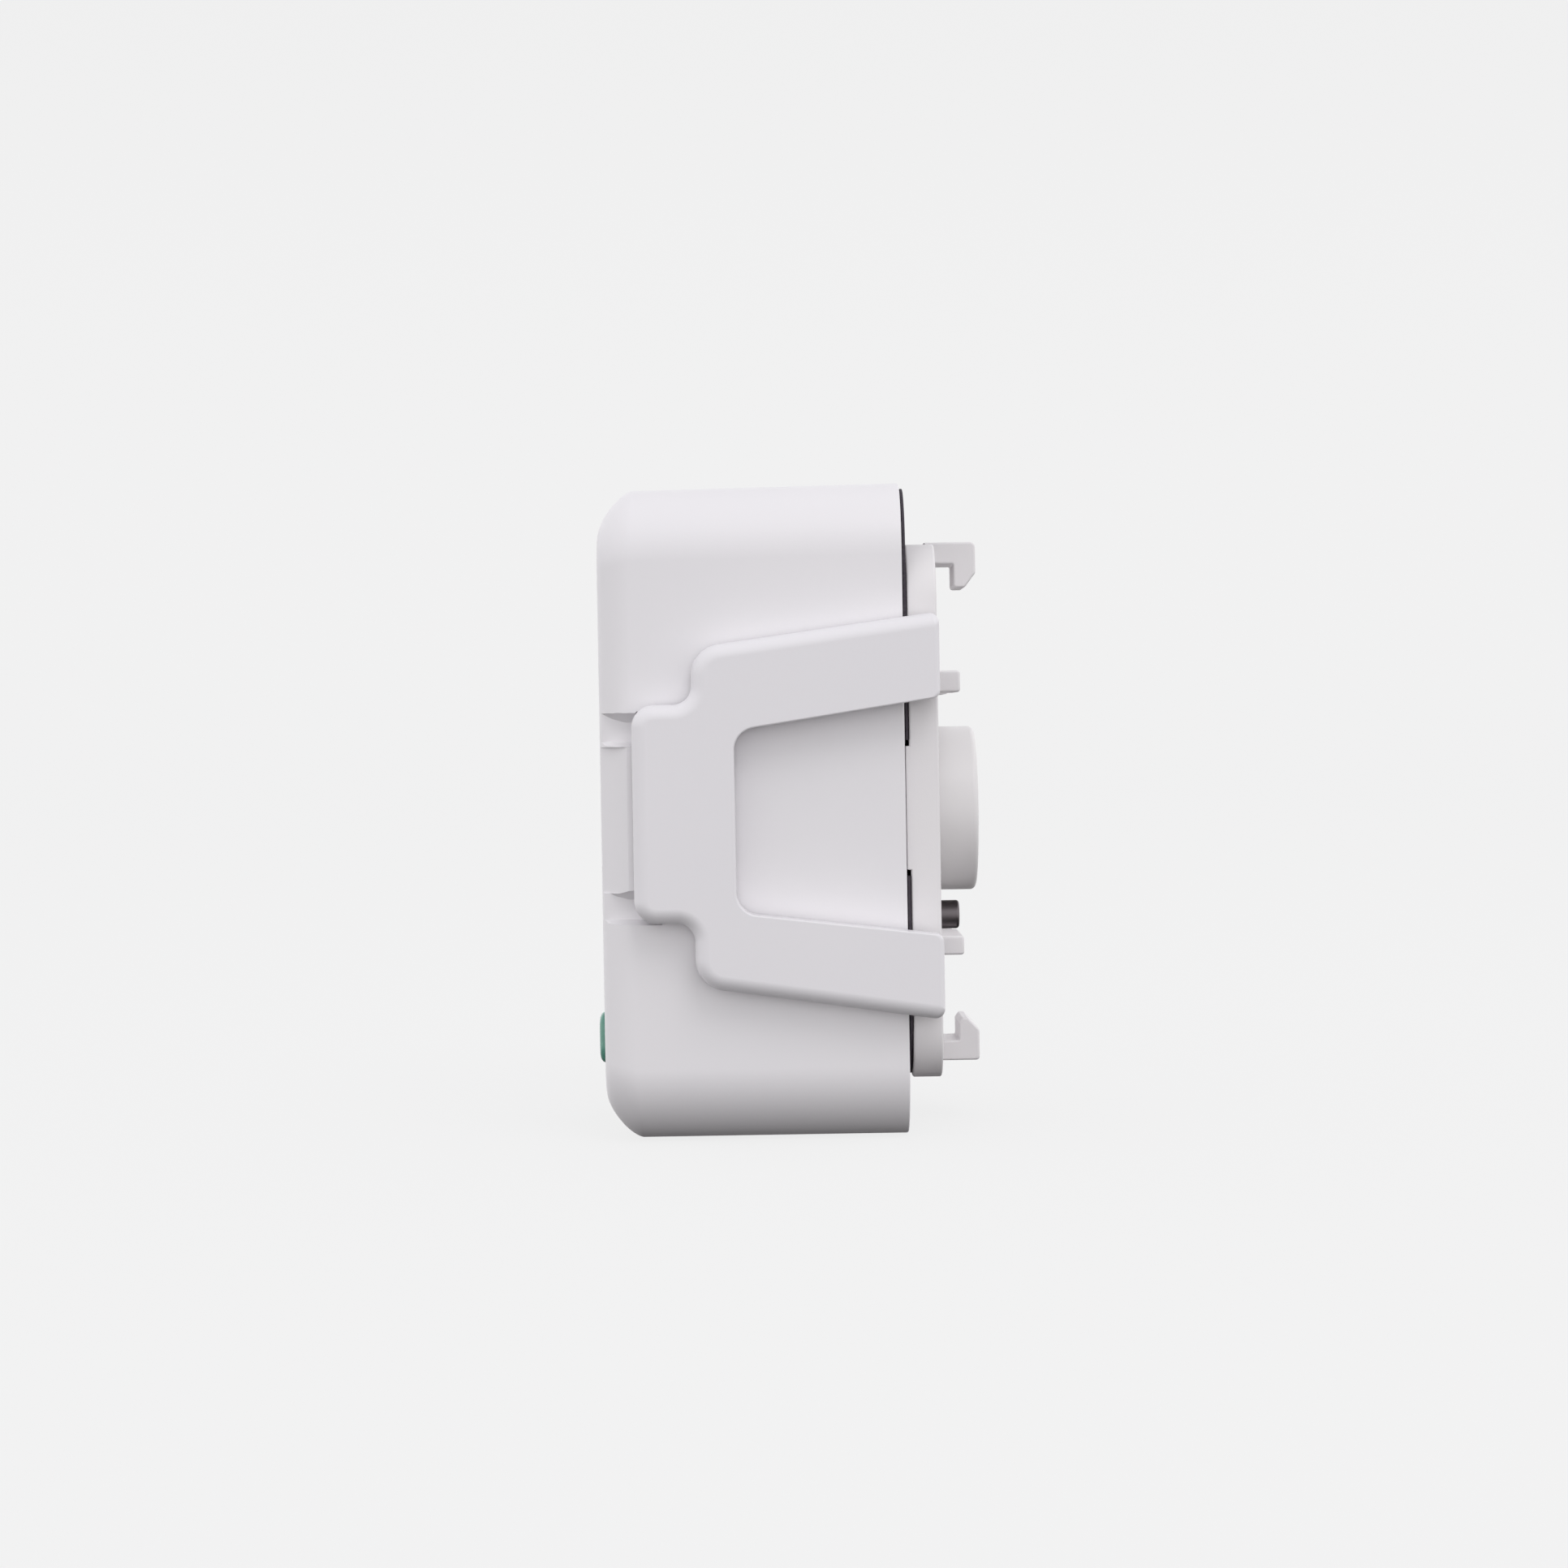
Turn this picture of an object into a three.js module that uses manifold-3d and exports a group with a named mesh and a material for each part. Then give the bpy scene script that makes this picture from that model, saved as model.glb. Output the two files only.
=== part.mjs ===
// Stair gate latch: a plastic housing with a front release button, held by two sprung side clips
// on a carrier plate that hooks onto the gate. Millimetres, +Z up, -X is the front, +X faces the gate.
// The origin is under the middle of the latch, on the surface that the housing stands on.
import * as THREE from "three";
import { mergeVertices } from "three/addons/utils/BufferGeometryUtils.js";
import Module from "manifold-3d";

const wasm = await Module();
wasm.setup();

// ---------------------------------------------------------------- driving dimensions
const GAP = 0.3; // between pieces that meet face to face

const HOUSING = { front: -25.1, rear: 15.6, half: 28, height: 88, corner: 10, wall: 2.4 };
const EDGE = { depth: 4.8, inset: 5.6 }; // rounded rim of the front face, along X and inwards
const UNDERSIDE = { rise: 0.3, foot: 18.6 }; // a shallow hollow, so the housing stands on its long edges
const BUTTON_FIT = 0.35; // clearance round the button
const PAD = { rear: -12, bottom: 26, top: 61 }; // thick wall behind the pockets in each side
const BOLT_Z = 43.5; // the bolt, the button and the clips share this height

const COVER = { front: 12.6, rear: 15.0, gap: 0.3 };
const GASKET = { front: 15.7, rear: 16.1, inset: 0.75, bottom: 8.1 };
const PLATE = { front: 16.2, rear: 20.15, half: 27, bottom: 7.7, top: 79.6, corner: 7.5 };

const BOLT = { radius: 11.5, end: 26.3, shoulder: 7, pocket: 19, pocketRadius: 8.6, chamfer: 0.7 };
const STEM = { radius: 4, groove: 3, end: -11, head: 3.8 };
const RETAINER = { front: -8.7, rear: -6.3, inner: 3.2, outer: 8.5 };
const BRIDGE = { front: -1.6, rear: 0.2, halfWidth: 22, bottom: 18, top: 69 };
const EAR = { inner: 8, outer: 10.4, radius: 3.2 }; // the chassis ears that hold the rocker pins

const ROCKER = { x: -7, offset: 18.5, boltArm: 13.5, buttonArm: 9, tip: 2, bar: 1.2, hub: 3.4 };
const BOLT_TRAVEL = 6;
const ROCKER_TURN = BOLT_TRAVEL / ROCKER.boltArm; // radians, swung evenly about upright
const ROCKER_PIN = { radius: 1.25, half: 10.8 };

const BUTTON = { radius: 14, carrierFront: -21.3, carrierRear: -19.3, legEnd: -11.28 };

const SENSE = { z: 28.5, radius: 2, inner: 5, outer: 23.95 };
const LINK = { front: -19.7, rodY: 13, rodZ: 11.6, half: 1.5, armFront: 5, armRear: 8 };
const INDICATOR = { front: -26.7, back: -22, half: 7, bottom: 8.8, top: 16, neckHalf: 4 };

const CLIP = { inner: 28.3, outer: 32.5, pinX: 18.2, pinY: 25.2, pinRadius: 1 };
const POCKET = { depth: 2.4, shoulder: -17, upper: [52.9, 57.7], lower: [29.2, 34.1] };
const NOTCH = { inner: 23, upper: [60, 69], lower: [17, 26.5] };
const HOOK = { half: 5.5, root: 0.5 };
const TOP_HOOK = { stem: [77.6, 80.6], tip: 74.3, outer: 26.7, inner: 23.65 };
const BOTTOM_HOOK = { stem: [8.4, 11.15], tip: 14.3, outer: 26.25, inner: 23.4 };
const RIB = { end: 23.35, near: 8, far: 22.8, heights: [[59.6, 62.5], [24.3, 26.9]] };
const LAND = { front: 15.7, inner: 24, bottom: 36, top: 52.5 }; // where the plate bears on the housing
const FINGER = { front: -19.6, rear: -17.3, reach: 26, heights: [[29.7, 33.6], [53.4, 57.2]] };
const KNUCKLE = { radius: 1.7, heights: [[17.5, 26], [60.5, 65.2]] };
const CLIP_PINS = { upper: [57.5, 72], lower: [14.5, 29] };
const PIN_SEATS = { heights: [[57.2, 72.4], [14.1, 29.3]], behind: 0.5, half: 0.9 }; // open to the rear
const CLIP_SPRING = { radius: 1.45, rise: 2.4, turns: 3, perTurn: 8, wireRadius: 0.25, bottom: 65.8 };
const BEZEL = {
  flange: { half: 9.2, bottom: 6.7, top: 18.1 },
  sleeve: { half: 8.1, bottom: 7.7, top: 17.1 },
  mouth: { half: 7.3, bottom: 8.5, top: 16.3 },
};

// ---------------------------------------------------------------- materials
const plastic = (color, roughness) =>
  new THREE.MeshStandardMaterial({ color, roughness, metalness: 0 });
const steel = (color, roughness) =>
  new THREE.MeshStandardMaterial({ color, roughness, metalness: 1 });

const MATERIAL = {
  white: plastic(0xe6e4e6, 0.42),
  plate: plastic(0xe0dedf, 0.48),
  acetal: plastic(0xd6d6d8, 0.35),
  frame: plastic(0x8d9094, 0.5),
  gasket: plastic(0x3c3a3e, 0.85),
  green: plastic(0x3fa277, 0.3),
  pin: steel(0x9a9896, 0.3),
  screw: steel(0xb9babd, 0.32),
  spring: steel(0xa7a9ad, 0.25),
};

// ---------------------------------------------------------------- solids
// A closed three.js geometry as a manifold solid.
function solid(geometry) {
  const loose = geometry.index ? geometry.toNonIndexed() : geometry.clone();
  loose.deleteAttribute("normal");
  loose.deleteAttribute("uv");
  const merged = mergeVertices(loose, 1e-4);
  const corners = merged.index.array;
  const kept = [];
  for (let i = 0; i < corners.length; i += 3) {
    const [a, b, c] = corners.slice(i, i + 3);
    if (a !== b && b !== c && a !== c) kept.push(a, b, c);
  }
  const vertProperties = new Float32Array(merged.attributes.position.array);
  const triVerts = new Uint32Array(kept);
  return new wasm.Manifold(new wasm.Mesh({ numProp: 3, vertProperties, triVerts }));
}

const join = (...solids) => solids.reduce((all, next) => all.add(next));
const cut = (body, ...tools) => tools.reduce((left, tool) => left.subtract(tool), body);

// A solid as a named mesh, its faces flat-shaded.
function piece(name, body, material) {
  const made = body.getMesh();
  const points = [];
  for (const vertex of made.triVerts) {
    const at = vertex * made.numProp;
    points.push(...made.vertProperties.slice(at, at + 3));
  }
  const geometry = new THREE.BufferGeometry();
  geometry.setAttribute("position", new THREE.Float32BufferAttribute(points, 3));
  geometry.computeVertexNormals();
  const mesh = new THREE.Mesh(geometry, material);
  mesh.name = name;
  return mesh;
}

function box([x0, x1], [y0, y1], [z0, z1]) {
  const geometry = new THREE.BoxGeometry(x1 - x0, y1 - y0, z1 - z0);
  geometry.translate((x0 + x1) / 2, (y0 + y1) / 2, (z0 + z1) / 2);
  return solid(geometry);
}

// A closed outline through corners [u, v, radius], each rounded with its own radius.
function outline(corners) {
  const shape = new THREE.Shape();
  const point = ([u, v]) => new THREE.Vector2(u, v);
  corners.forEach((corner, i) => {
    const at = point(corner);
    const radius = corner[2] ?? 0;
    if (!radius) {
      if (i) shape.lineTo(at.x, at.y);
      else shape.moveTo(at.x, at.y);
      return;
    }
    const before = point(corners.at(i - 1)).sub(at).normalize();
    const after = point(corners[(i + 1) % corners.length]).sub(at).normalize();
    const half = Math.acos(before.dot(after)) / 2;
    const inwards = before.clone().add(after).normalize();
    const centre = at.clone().addScaledVector(inwards, radius / Math.sin(half));
    const start = at.clone().addScaledVector(before, radius / Math.tan(half)).sub(centre);
    const end = at.clone().addScaledVector(after, radius / Math.tan(half)).sub(centre);
    const clockwise = before.cross(after) > 0;
    shape.absarc(centre.x, centre.y, radius, start.angle(), end.angle(), clockwise);
  });
  shape.closePath();
  return shape;
}

// From a to b across the latch, on one side of its middle plane.
const across = (side, a, b) => [side * a, side * b].sort((p, q) => p - q);

const rectangle = ([u0, u1], [v0, v1], radius = 0) =>
  outline([
    [u0, v0, radius],
    [u1, v0, radius],
    [u1, v1, radius],
    [u0, v1, radius],
  ]);

const AXES = {
  X: [new THREE.Vector3(0, 1, 0), new THREE.Vector3(0, 0, 1), new THREE.Vector3(1, 0, 0)],
  Y: [new THREE.Vector3(0, 0, 1), new THREE.Vector3(1, 0, 0), new THREE.Vector3(0, 1, 0)],
  Z: [new THREE.Vector3(1, 0, 0), new THREE.Vector3(0, 1, 0), new THREE.Vector3(0, 0, 1)],
};

// An outline extruded along an axis. The outline is drawn in (Y, Z), (Z, X) or (X, Y).
function extrude(axis, shape, [from, to], options = {}) {
  const settings = { depth: to - from, bevelEnabled: false, curveSegments: 3, ...options };
  const geometry = new THREE.ExtrudeGeometry(shape, settings);
  geometry.translate(0, 0, from);
  geometry.applyMatrix4(new THREE.Matrix4().makeBasis(...AXES[axis]));
  return solid(geometry);
}

// A solid turned about an axis through (u, v). The profile holds [radius, place along the axis].
function turned(axis, profile, [u, v], segments = 16) {
  const points = profile.map(([radius, along]) => new THREE.Vector2(radius, along));
  const geometry = new THREE.LatheGeometry(points, segments);
  geometry.rotateX(Math.PI / 2);
  geometry.translate(u, v, 0);
  geometry.applyMatrix4(new THREE.Matrix4().makeBasis(...AXES[axis]));
  return solid(geometry);
}

const rod = (axis, radius, [from, to], at, segments = 16) =>
  turned(axis, [[0, from], [radius, from], [radius, to], [0, to]], at, segments);

// A round wire along a curve.
function wire(curve, radius, steps, sides) {
  const section = [];
  for (let i = 0; i < sides; i += 1) {
    const angle = (2 * Math.PI * i) / sides;
    section.push(new THREE.Vector2(radius * Math.cos(angle), radius * Math.sin(angle)));
  }
  const settings = { steps, extrudePath: curve, bevelEnabled: false };
  return solid(new THREE.ExtrudeGeometry(new THREE.Shape(section), settings));
}

// A coil along +Z from 0 to its length.
class Coil extends THREE.Curve {
  constructor(radius, length, turns) {
    super();
    Object.assign(this, { radius, length, turns });
  }

  getPoint(t, target = new THREE.Vector3()) {
    const angle = 2 * Math.PI * this.turns * t;
    return target.set(
      this.radius * Math.cos(angle),
      this.radius * Math.sin(angle),
      this.length * t,
    );
  }
}

const latch = new THREE.Group();
const bothSides = [
  ["near", -1],
  ["far", 1],
];
const bothEnds = [
  ["upper", 1],
  ["lower", -1],
];

// ---------------------------------------------------------------- housing
const CASE_SCREWS = [
  [-20.5, 7.6],
  [20.5, 7.6],
  [-20.5, 80.4],
  [20.5, 80.4],
];
const CHASSIS_SCREWS = [
  [-18.6, 26],
  [18.6, 26],
  [-18.6, 61],
  [18.6, 61],
];
const SCREW = { shank: 1.25, bore: 1.35, head: 2.8, headFront: 13.4, headRear: 14.9 };

// The tool for the shallow V under the housing. It meets the underside at the start of the round edges.
function undersideHollow() {
  const { rise, foot } = UNDERSIDE;
  const reach = HOUSING.half;
  const edge = rise * (1 - reach / foot);
  const section = outline([
    [-reach, edge],
    [-reach, -2],
    [reach, -2],
    [reach, edge],
    [0, rise],
  ]);
  return extrude("X", section, [HOUSING.front - 1, HOUSING.rear + 1]);
}

function frontShell() {
  const { front, rear, half, height, corner, wall } = HOUSING;
  const inset = EDGE.inset;
  const block = extrude(
    "X",
    rectangle([inset - half, half - inset], [inset, height - inset], corner - inset),
    [front + EDGE.depth, rear + EDGE.depth],
    { bevelEnabled: true, bevelThickness: EDGE.depth, bevelSize: inset, bevelSegments: 4, curveSegments: 4 },
  );
  const outside = cut(block, box([rear, rear + 20], [-40, 40], [-10, 100]));
  const hollow = extrude(
    "X",
    rectangle([wall - half, half - wall], [wall, height - wall], corner - wall),
    [front + wall, rear + 1],
  );
  const innerFront = front + wall;
  const added = [];
  const removed = [];
  for (const [y, z] of CASE_SCREWS) {
    added.push(rod("X", 3.4, [innerFront - 0.5, COVER.front - GAP], [y, z]));
    removed.push(rod("X", SCREW.bore, [-3, COVER.front + 1], [y, z], 8));
  }
  for (const side of [-1, 1]) {
    const pad = across(side, half - wall - 2.2, half - 1.2);
    added.push(box([innerFront - 0.5, PAD.rear], pad, [PAD.bottom, PAD.top]));
    const hole = across(side, half - POCKET.depth, half + 5);
    removed.push(box([front - 1, POCKET.shoulder], hole, POCKET.upper));
    removed.push(box([front - 1, POCKET.shoulder], hole, POCKET.lower));
  }
  const opening = [front - 1, innerFront + 1];
  removed.push(rod("X", BUTTON.radius + BUTTON_FIT, opening, [0, BOLT_Z], 32));
  removed.push(extrude("X", rectangle([-8.3, 8.3], [7.5, 17.3], 3), opening));
  removed.push(undersideHollow());
  return cut(join(cut(outside, hollow), ...added), ...removed);
}
latch.add(piece("front_shell", frontShell(), MATERIAL.white));

function rearCover() {
  const { half, height, wall, corner } = HOUSING;
  const inset = wall + COVER.gap;
  const panel = extrude(
    "X",
    rectangle([inset - half, half - inset], [inset, height - inset], corner - inset),
    [COVER.front, COVER.rear],
  );
  const sleeve = rod("X", 13.6, [9, COVER.rear], [0, BOLT_Z], 28);
  const pinBoss = rod("X", 3.8, [9.6, COVER.rear], [0, SENSE.z], 16);
  const removed = [
    rod("X", BOLT.radius + 0.15, [0, 20], [0, BOLT_Z], 28),
    rod("X", SENSE.radius + 0.12, [0, 20], [0, SENSE.z], 16),
  ];
  for (const at of [...CASE_SCREWS, ...CHASSIS_SCREWS]) {
    removed.push(rod("X", SCREW.shank + 0.35, [0, 20], at, 8));
    removed.push(rod("X", SCREW.head + 0.3, [SCREW.headFront - 0.2, 20], at, 10));
  }
  return cut(join(panel, sleeve, pinBoss), ...removed);
}
latch.add(piece("rear_cover", rearCover(), MATERIAL.plate));

function rearGasket() {
  const { half, height, corner } = HOUSING;
  const { inset } = GASKET;
  const sheet = extrude(
    "X",
    rectangle([inset - half, half - inset], [GASKET.bottom, height - inset], corner - inset),
    [GASKET.front, GASKET.rear],
  );
  const room = 0.8;
  const lands = [-1, 1].map((side) => {
    const span = across(side, LAND.inner - 1.5 * room, half + 2);
    return box([10, 20], span, [LAND.bottom - room, LAND.top + room]);
  });
  return cut(
    sheet,
    rod("X", BOLT.radius + 0.9, [10, 20], [0, BOLT_Z], 28),
    box([10, 20], [-3, 3], [SENSE.z - 3, SENSE.z + 5]),
    ...lands,
  );
}
latch.add(piece("rear_gasket", rearGasket(), MATERIAL.gasket));

// A pan-head screw with a cross recess, its head towards +X.
function screwBody(length) {
  const body = turned(
    "X",
    [
      [0, SCREW.headFront - length],
      [SCREW.shank, SCREW.headFront - length + 1.2],
      [SCREW.shank, SCREW.headFront],
      [SCREW.head, SCREW.headFront],
      [SCREW.head, SCREW.headRear - 0.4],
      [SCREW.head - 0.5, SCREW.headRear],
      [0, SCREW.headRear],
    ],
    [0, 0],
    10,
  );
  const recess = [SCREW.headRear - 0.9, SCREW.headRear + 1];
  return cut(body, box(recess, [-1.6, 1.6], [-0.35, 0.35]), box(recess, [-0.35, 0.35], [-1.6, 1.6]));
}
CASE_SCREWS.forEach(([y, z], i) => {
  const screw = piece(`case_screw_${i + 1}`, screwBody(15), MATERIAL.screw);
  screw.position.set(0, y, z);
  latch.add(screw);
});
CHASSIS_SCREWS.forEach(([y, z], i) => {
  const screw = piece(`chassis_screw_${i + 1}`, screwBody(9), MATERIAL.screw);
  screw.position.set(0, y, z);
  latch.add(screw);
});

// ---------------------------------------------------------------- carrier plate
// The upper hook points down and the lower one points up, each chamfered on its outer edge.
function topHook() {
  const { stem, tip, outer, inner } = TOP_HOOK;
  const [low, high] = stem;
  const root = PLATE.rear - HOOK.root;
  return outline([
    [high, root],
    [low, root],
    [low, inner],
    [tip, inner],
    [tip, outer - 1.5],
    [tip + 2, outer],
    [high, outer],
  ]);
}

function bottomHook() {
  const { stem, tip, outer, inner } = BOTTOM_HOOK;
  const [low, high] = stem;
  const root = PLATE.rear - HOOK.root;
  return outline([
    [low, root],
    [low, outer],
    [tip - 1.8, outer],
    [tip, outer - 1.6],
    [tip, inner + 0.4],
    [tip - 0.8, inner],
    [high, inner],
    [high, root],
  ]);
}

function mountPlate() {
  const { front, rear, half, bottom, top, corner } = PLATE;
  const panel = extrude("X", rectangle([-half, half], [bottom, top], corner), [front, rear]);
  const added = [topHook(), bottomHook()].map((profile) =>
    extrude("Y", profile, [-HOOK.half, HOOK.half]),
  );
  const removed = [
    rod("X", BOLT.radius + 0.6, [10, 30], [0, BOLT_Z], 28),
    rod("X", SENSE.radius + 0.4, [10, 30], [0, SENSE.z], 16),
  ];
  for (const side of [-1, 1]) {
    const land = across(side, LAND.inner, half);
    added.push(box([LAND.front, front + 0.5], land, [LAND.bottom, LAND.top]));
    for (const heights of RIB.heights) {
      added.push(box([rear - 0.5, RIB.end], across(side, RIB.near, RIB.far), heights));
    }
    for (const heights of [NOTCH.upper, NOTCH.lower]) {
      removed.push(box([front - 6, rear + 2], across(side, NOTCH.inner, half + 3), heights));
    }
    for (const range of PIN_SEATS.heights) {
      const { behind, half: mouth } = PIN_SEATS;
      removed.push(rod("Z", CLIP.pinRadius + 0.05, range, [CLIP.pinX, side * CLIP.pinY], 10));
      removed.push(
        box([CLIP.pinX + behind, rear + 1], across(side, CLIP.pinY - mouth, CLIP.pinY + mouth), range),
      );
    }
  }
  return cut(join(panel, ...added), ...removed);
}
latch.add(piece("mount_plate", mountPlate(), MATERIAL.plate));

// ---------------------------------------------------------------- side clips
// Outline of the U-shaped clip, seen from its side, as [z, x, radius].
const CLIP_OUTLINE = [
  [16.3, 20.2, 0.8],
  [27.6, 20.2, 0.8],
  [30.9, -7.05, 3],
  [54.9, -7.05, 3],
  [58.9, 20.2, 0.8],
  [70.2, 20.2, 0.8],
  [65.7, -12.6, 3.2],
  [58.5, -12.6, 2],
  [58.5, -20.55, 2.4],
  [29.6, -20.55, 2.4],
  [29.6, -12.6, 2],
  [21.2, -12.6, 3.2],
];

// The clip on the -Y side. Its two fingers and two hinge knuckles reach inwards.
function sideClip() {
  const { inner, outer, pinX, pinY } = CLIP;
  const bar = extrude("Y", outline(CLIP_OUTLINE), [-outer, -inner]);
  const fingers = FINGER.heights.map((heights) =>
    box([FINGER.front, FINGER.rear], [-inner - 1, -FINGER.reach], heights),
  );
  const knuckles = KNUCKLE.heights.map((heights) =>
    join(
      rod("Z", KNUCKLE.radius, heights, [pinX, -pinY], 16),
      box([pinX - KNUCKLE.radius, pinX + KNUCKLE.radius], [-inner - 1, -pinY], heights),
    ),
  );
  const bore = rod("Z", CLIP.pinRadius + 0.1, [10, 80], [pinX, -pinY], 10);
  return cut(join(bar, ...fingers, ...knuckles), bore);
}

// A torsion spring round the upper pin, one leg on the plate and the other on the clip.
function clipSpring() {
  const { radius, rise, turns, perTurn, wireRadius } = CLIP_SPRING;
  const points = [new THREE.Vector3(radius, -2.2, 0)];
  for (let i = 0; i <= turns * perTurn; i += 1) {
    const angle = (2 * Math.PI * i) / perTurn;
    const height = (rise * i) / (turns * perTurn);
    points.push(new THREE.Vector3(radius * Math.cos(angle), radius * Math.sin(angle), height));
  }
  points.push(new THREE.Vector3(radius, 1.7, rise));
  return wire(new THREE.CatmullRomCurve3(points), wireRadius, 50, 4);
}

for (const [name, side] of bothSides) {
  const group = new THREE.Group();
  group.scale.y = -side;
  group.add(piece(`side_clip_${name}`, sideClip(), MATERIAL.white));
  for (const [end, range] of Object.entries(CLIP_PINS)) {
    const body = rod("Z", CLIP.pinRadius, range, [CLIP.pinX, -CLIP.pinY], 10);
    group.add(piece(`clip_pin_${end}_${name}`, body, MATERIAL.pin));
  }
  const spring = piece(`clip_spring_${name}`, clipSpring(), MATERIAL.spring);
  spring.position.set(CLIP.pinX, -CLIP.pinY, CLIP_SPRING.bottom);
  group.add(spring);
  latch.add(group);
}

// ---------------------------------------------------------------- latch bolt
function latchBolt() {
  const { radius, end, shoulder, pocket, pocketRadius, chamfer } = BOLT;
  return turned(
    "X",
    [
      [0, STEM.end],
      [STEM.head - 0.6, STEM.end],
      [STEM.head, STEM.end + 0.6],
      [STEM.head, RETAINER.front - 0.25],
      [STEM.groove, RETAINER.front - 0.25],
      [STEM.groove, RETAINER.rear + 0.25],
      [STEM.radius, RETAINER.rear + 0.25],
      [STEM.radius, pocket],
      [pocketRadius, pocket],
      [pocketRadius, shoulder],
      [radius, shoulder],
      [radius, end - chamfer],
      [radius - chamfer, end],
      [0, end],
    ],
    [0, BOLT_Z],
    28,
  );
}
latch.add(piece("latch_bolt", latchBolt(), MATERIAL.white));

function boltRetainer() {
  const range = [RETAINER.front, RETAINER.rear];
  const disc = rod("X", RETAINER.outer, range, [0, BOLT_Z], 24);
  const eye = rod("X", RETAINER.inner, [-20, 0], [0, BOLT_Z], 16);
  const mouth = box([-20, 0], [0, 12], [BOLT_Z - 2.6, BOLT_Z + 2.6]);
  return cut(disc, eye, mouth);
}
latch.add(piece("bolt_retainer", boltRetainer(), MATERIAL.acetal));

function coilPiece(name, spring) {
  const body = wire(new Coil(spring.radius, spring.length, spring.turns), ...spring.wire);
  const mesh = piece(name, body, MATERIAL.spring);
  mesh.rotation.y = Math.PI / 2;
  mesh.position.set(spring.from, 0, spring.z);
  return mesh;
}
latch.add(
  coilPiece("bolt_spring", {
    radius: 6.6,
    length: 16.7,
    turns: 6,
    wire: [0.55, 60, 5],
    from: 1.15,
    z: BOLT_Z,
  }),
);

// ---------------------------------------------------------------- chassis, rockers and button
function chassis() {
  const { front, rear, halfWidth, bottom, top } = BRIDGE;
  const bridge = extrude(
    "X",
    rectangle([-halfWidth, halfWidth], [bottom, top], 4),
    [front, rear],
  );
  const added = [];
  const removed = [rod("X", STEM.radius + 0.3, [-5, 5], [0, BOLT_Z], 16)];
  for (const at of CHASSIS_SCREWS) {
    added.push(rod("X", 3.1, [front, COVER.front - GAP], at, 12));
    removed.push(rod("X", SCREW.bore, [3.5, 20], at, 8));
  }
  for (const [, end] of bothEnds) {
    const z = BOLT_Z + end * ROCKER.offset;
    for (const side of [-1, 1]) {
      const span = across(side, EAR.inner, EAR.outer);
      added.push(box([ROCKER.x, front + 0.5], span, [z - EAR.radius, z + EAR.radius]));
      added.push(rod("Y", EAR.radius, span, [z, ROCKER.x], 16));
      removed.push(box([-5, 5], across(side, 11.5, 15), [BOLT_Z - 12, BOLT_Z + 12]));
    }
    removed.push(rod("Y", ROCKER_PIN.radius + 0.05, [-15, 15], [z, ROCKER.x], 10));
  }
  return cut(join(bridge, ...added), ...removed);
}
latch.add(piece("chassis", chassis(), MATERIAL.frame));

// A rocker upright in its own frame: pivot at the origin, forked bolt end down, button end up.
function rocker() {
  const { boltArm, buttonArm, tip, bar, hub } = ROCKER;
  const added = [
    rod("Y", hub, [-7.6, 7.6], [0, 0], 16),
    box([-bar, bar], [-3, 3], [-8, buttonArm]),
    box([-bar, bar], [-7.1, 7.1], [-8.2, -5.6]),
    rod("Y", tip, [-3, 3], [buttonArm, 0], 12),
  ];
  for (const side of [-1, 1]) {
    const prong = across(side, 4.6, 7.1);
    added.push(box([-bar, bar], prong, [-boltArm, -6]));
    added.push(rod("Y", tip, prong, [-boltArm, 0], 12));
  }
  const bore = rod("Y", ROCKER_PIN.radius + 0.1, [-10, 10], [0, 0], 10);
  return cut(join(...added), bore);
}
for (const [name, end] of bothEnds) {
  const group = new THREE.Group();
  group.position.set(ROCKER.x, 0, BOLT_Z + end * ROCKER.offset);
  const arm = piece(`rocker_${name}`, rocker(), MATERIAL.acetal);
  arm.rotation.set(end < 0 ? Math.PI : 0, -ROCKER_TURN / 2, 0);
  const pin = rod("Y", ROCKER_PIN.radius, [-ROCKER_PIN.half, ROCKER_PIN.half], [0, 0], 10);
  group.add(arm, piece(`rocker_pin_${name}`, pin, MATERIAL.pin));
  latch.add(group);
}

function releaseButton() {
  const { radius, carrierFront, carrierRear, legEnd } = BUTTON;
  const front = HOUSING.front + 0.1;
  const cap = turned(
    "X",
    [
      [0, front + 0.9],
      [radius - 4, front + 0.4],
      [radius - 1.2, front],
      [radius, front + 1],
      [radius, carrierRear],
      [radius - 2.4, carrierRear],
      [radius - 2.4, front + 3],
      [0, front + 3],
    ],
    [0, BOLT_Z],
    28,
  );
  const reach = ROCKER.offset + ROCKER.buttonArm * Math.cos(ROCKER_TURN / 2);
  const half = 1.8;
  const carrier = extrude(
    "X",
    rectangle([-9, 9], [BOLT_Z - reach - half, BOLT_Z + reach + half], 2),
    [carrierFront, carrierRear],
  );
  const ring = cut(
    join(carrier, rod("X", radius + 1.8, [carrierFront, carrierRear], [0, BOLT_Z], 28)),
    rod("X", radius - 2.4, [carrierFront - 1, carrierRear + 1], [0, BOLT_Z], 28),
  );
  const legs = [-1, 1].map((end) => {
    const z = BOLT_Z + end * reach;
    return box([carrierFront, legEnd], [-3, 3], [z - half, z + half]);
  });
  return join(cap, ring, ...legs);
}
latch.add(piece("release_button", releaseButton(), MATERIAL.white));

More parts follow.
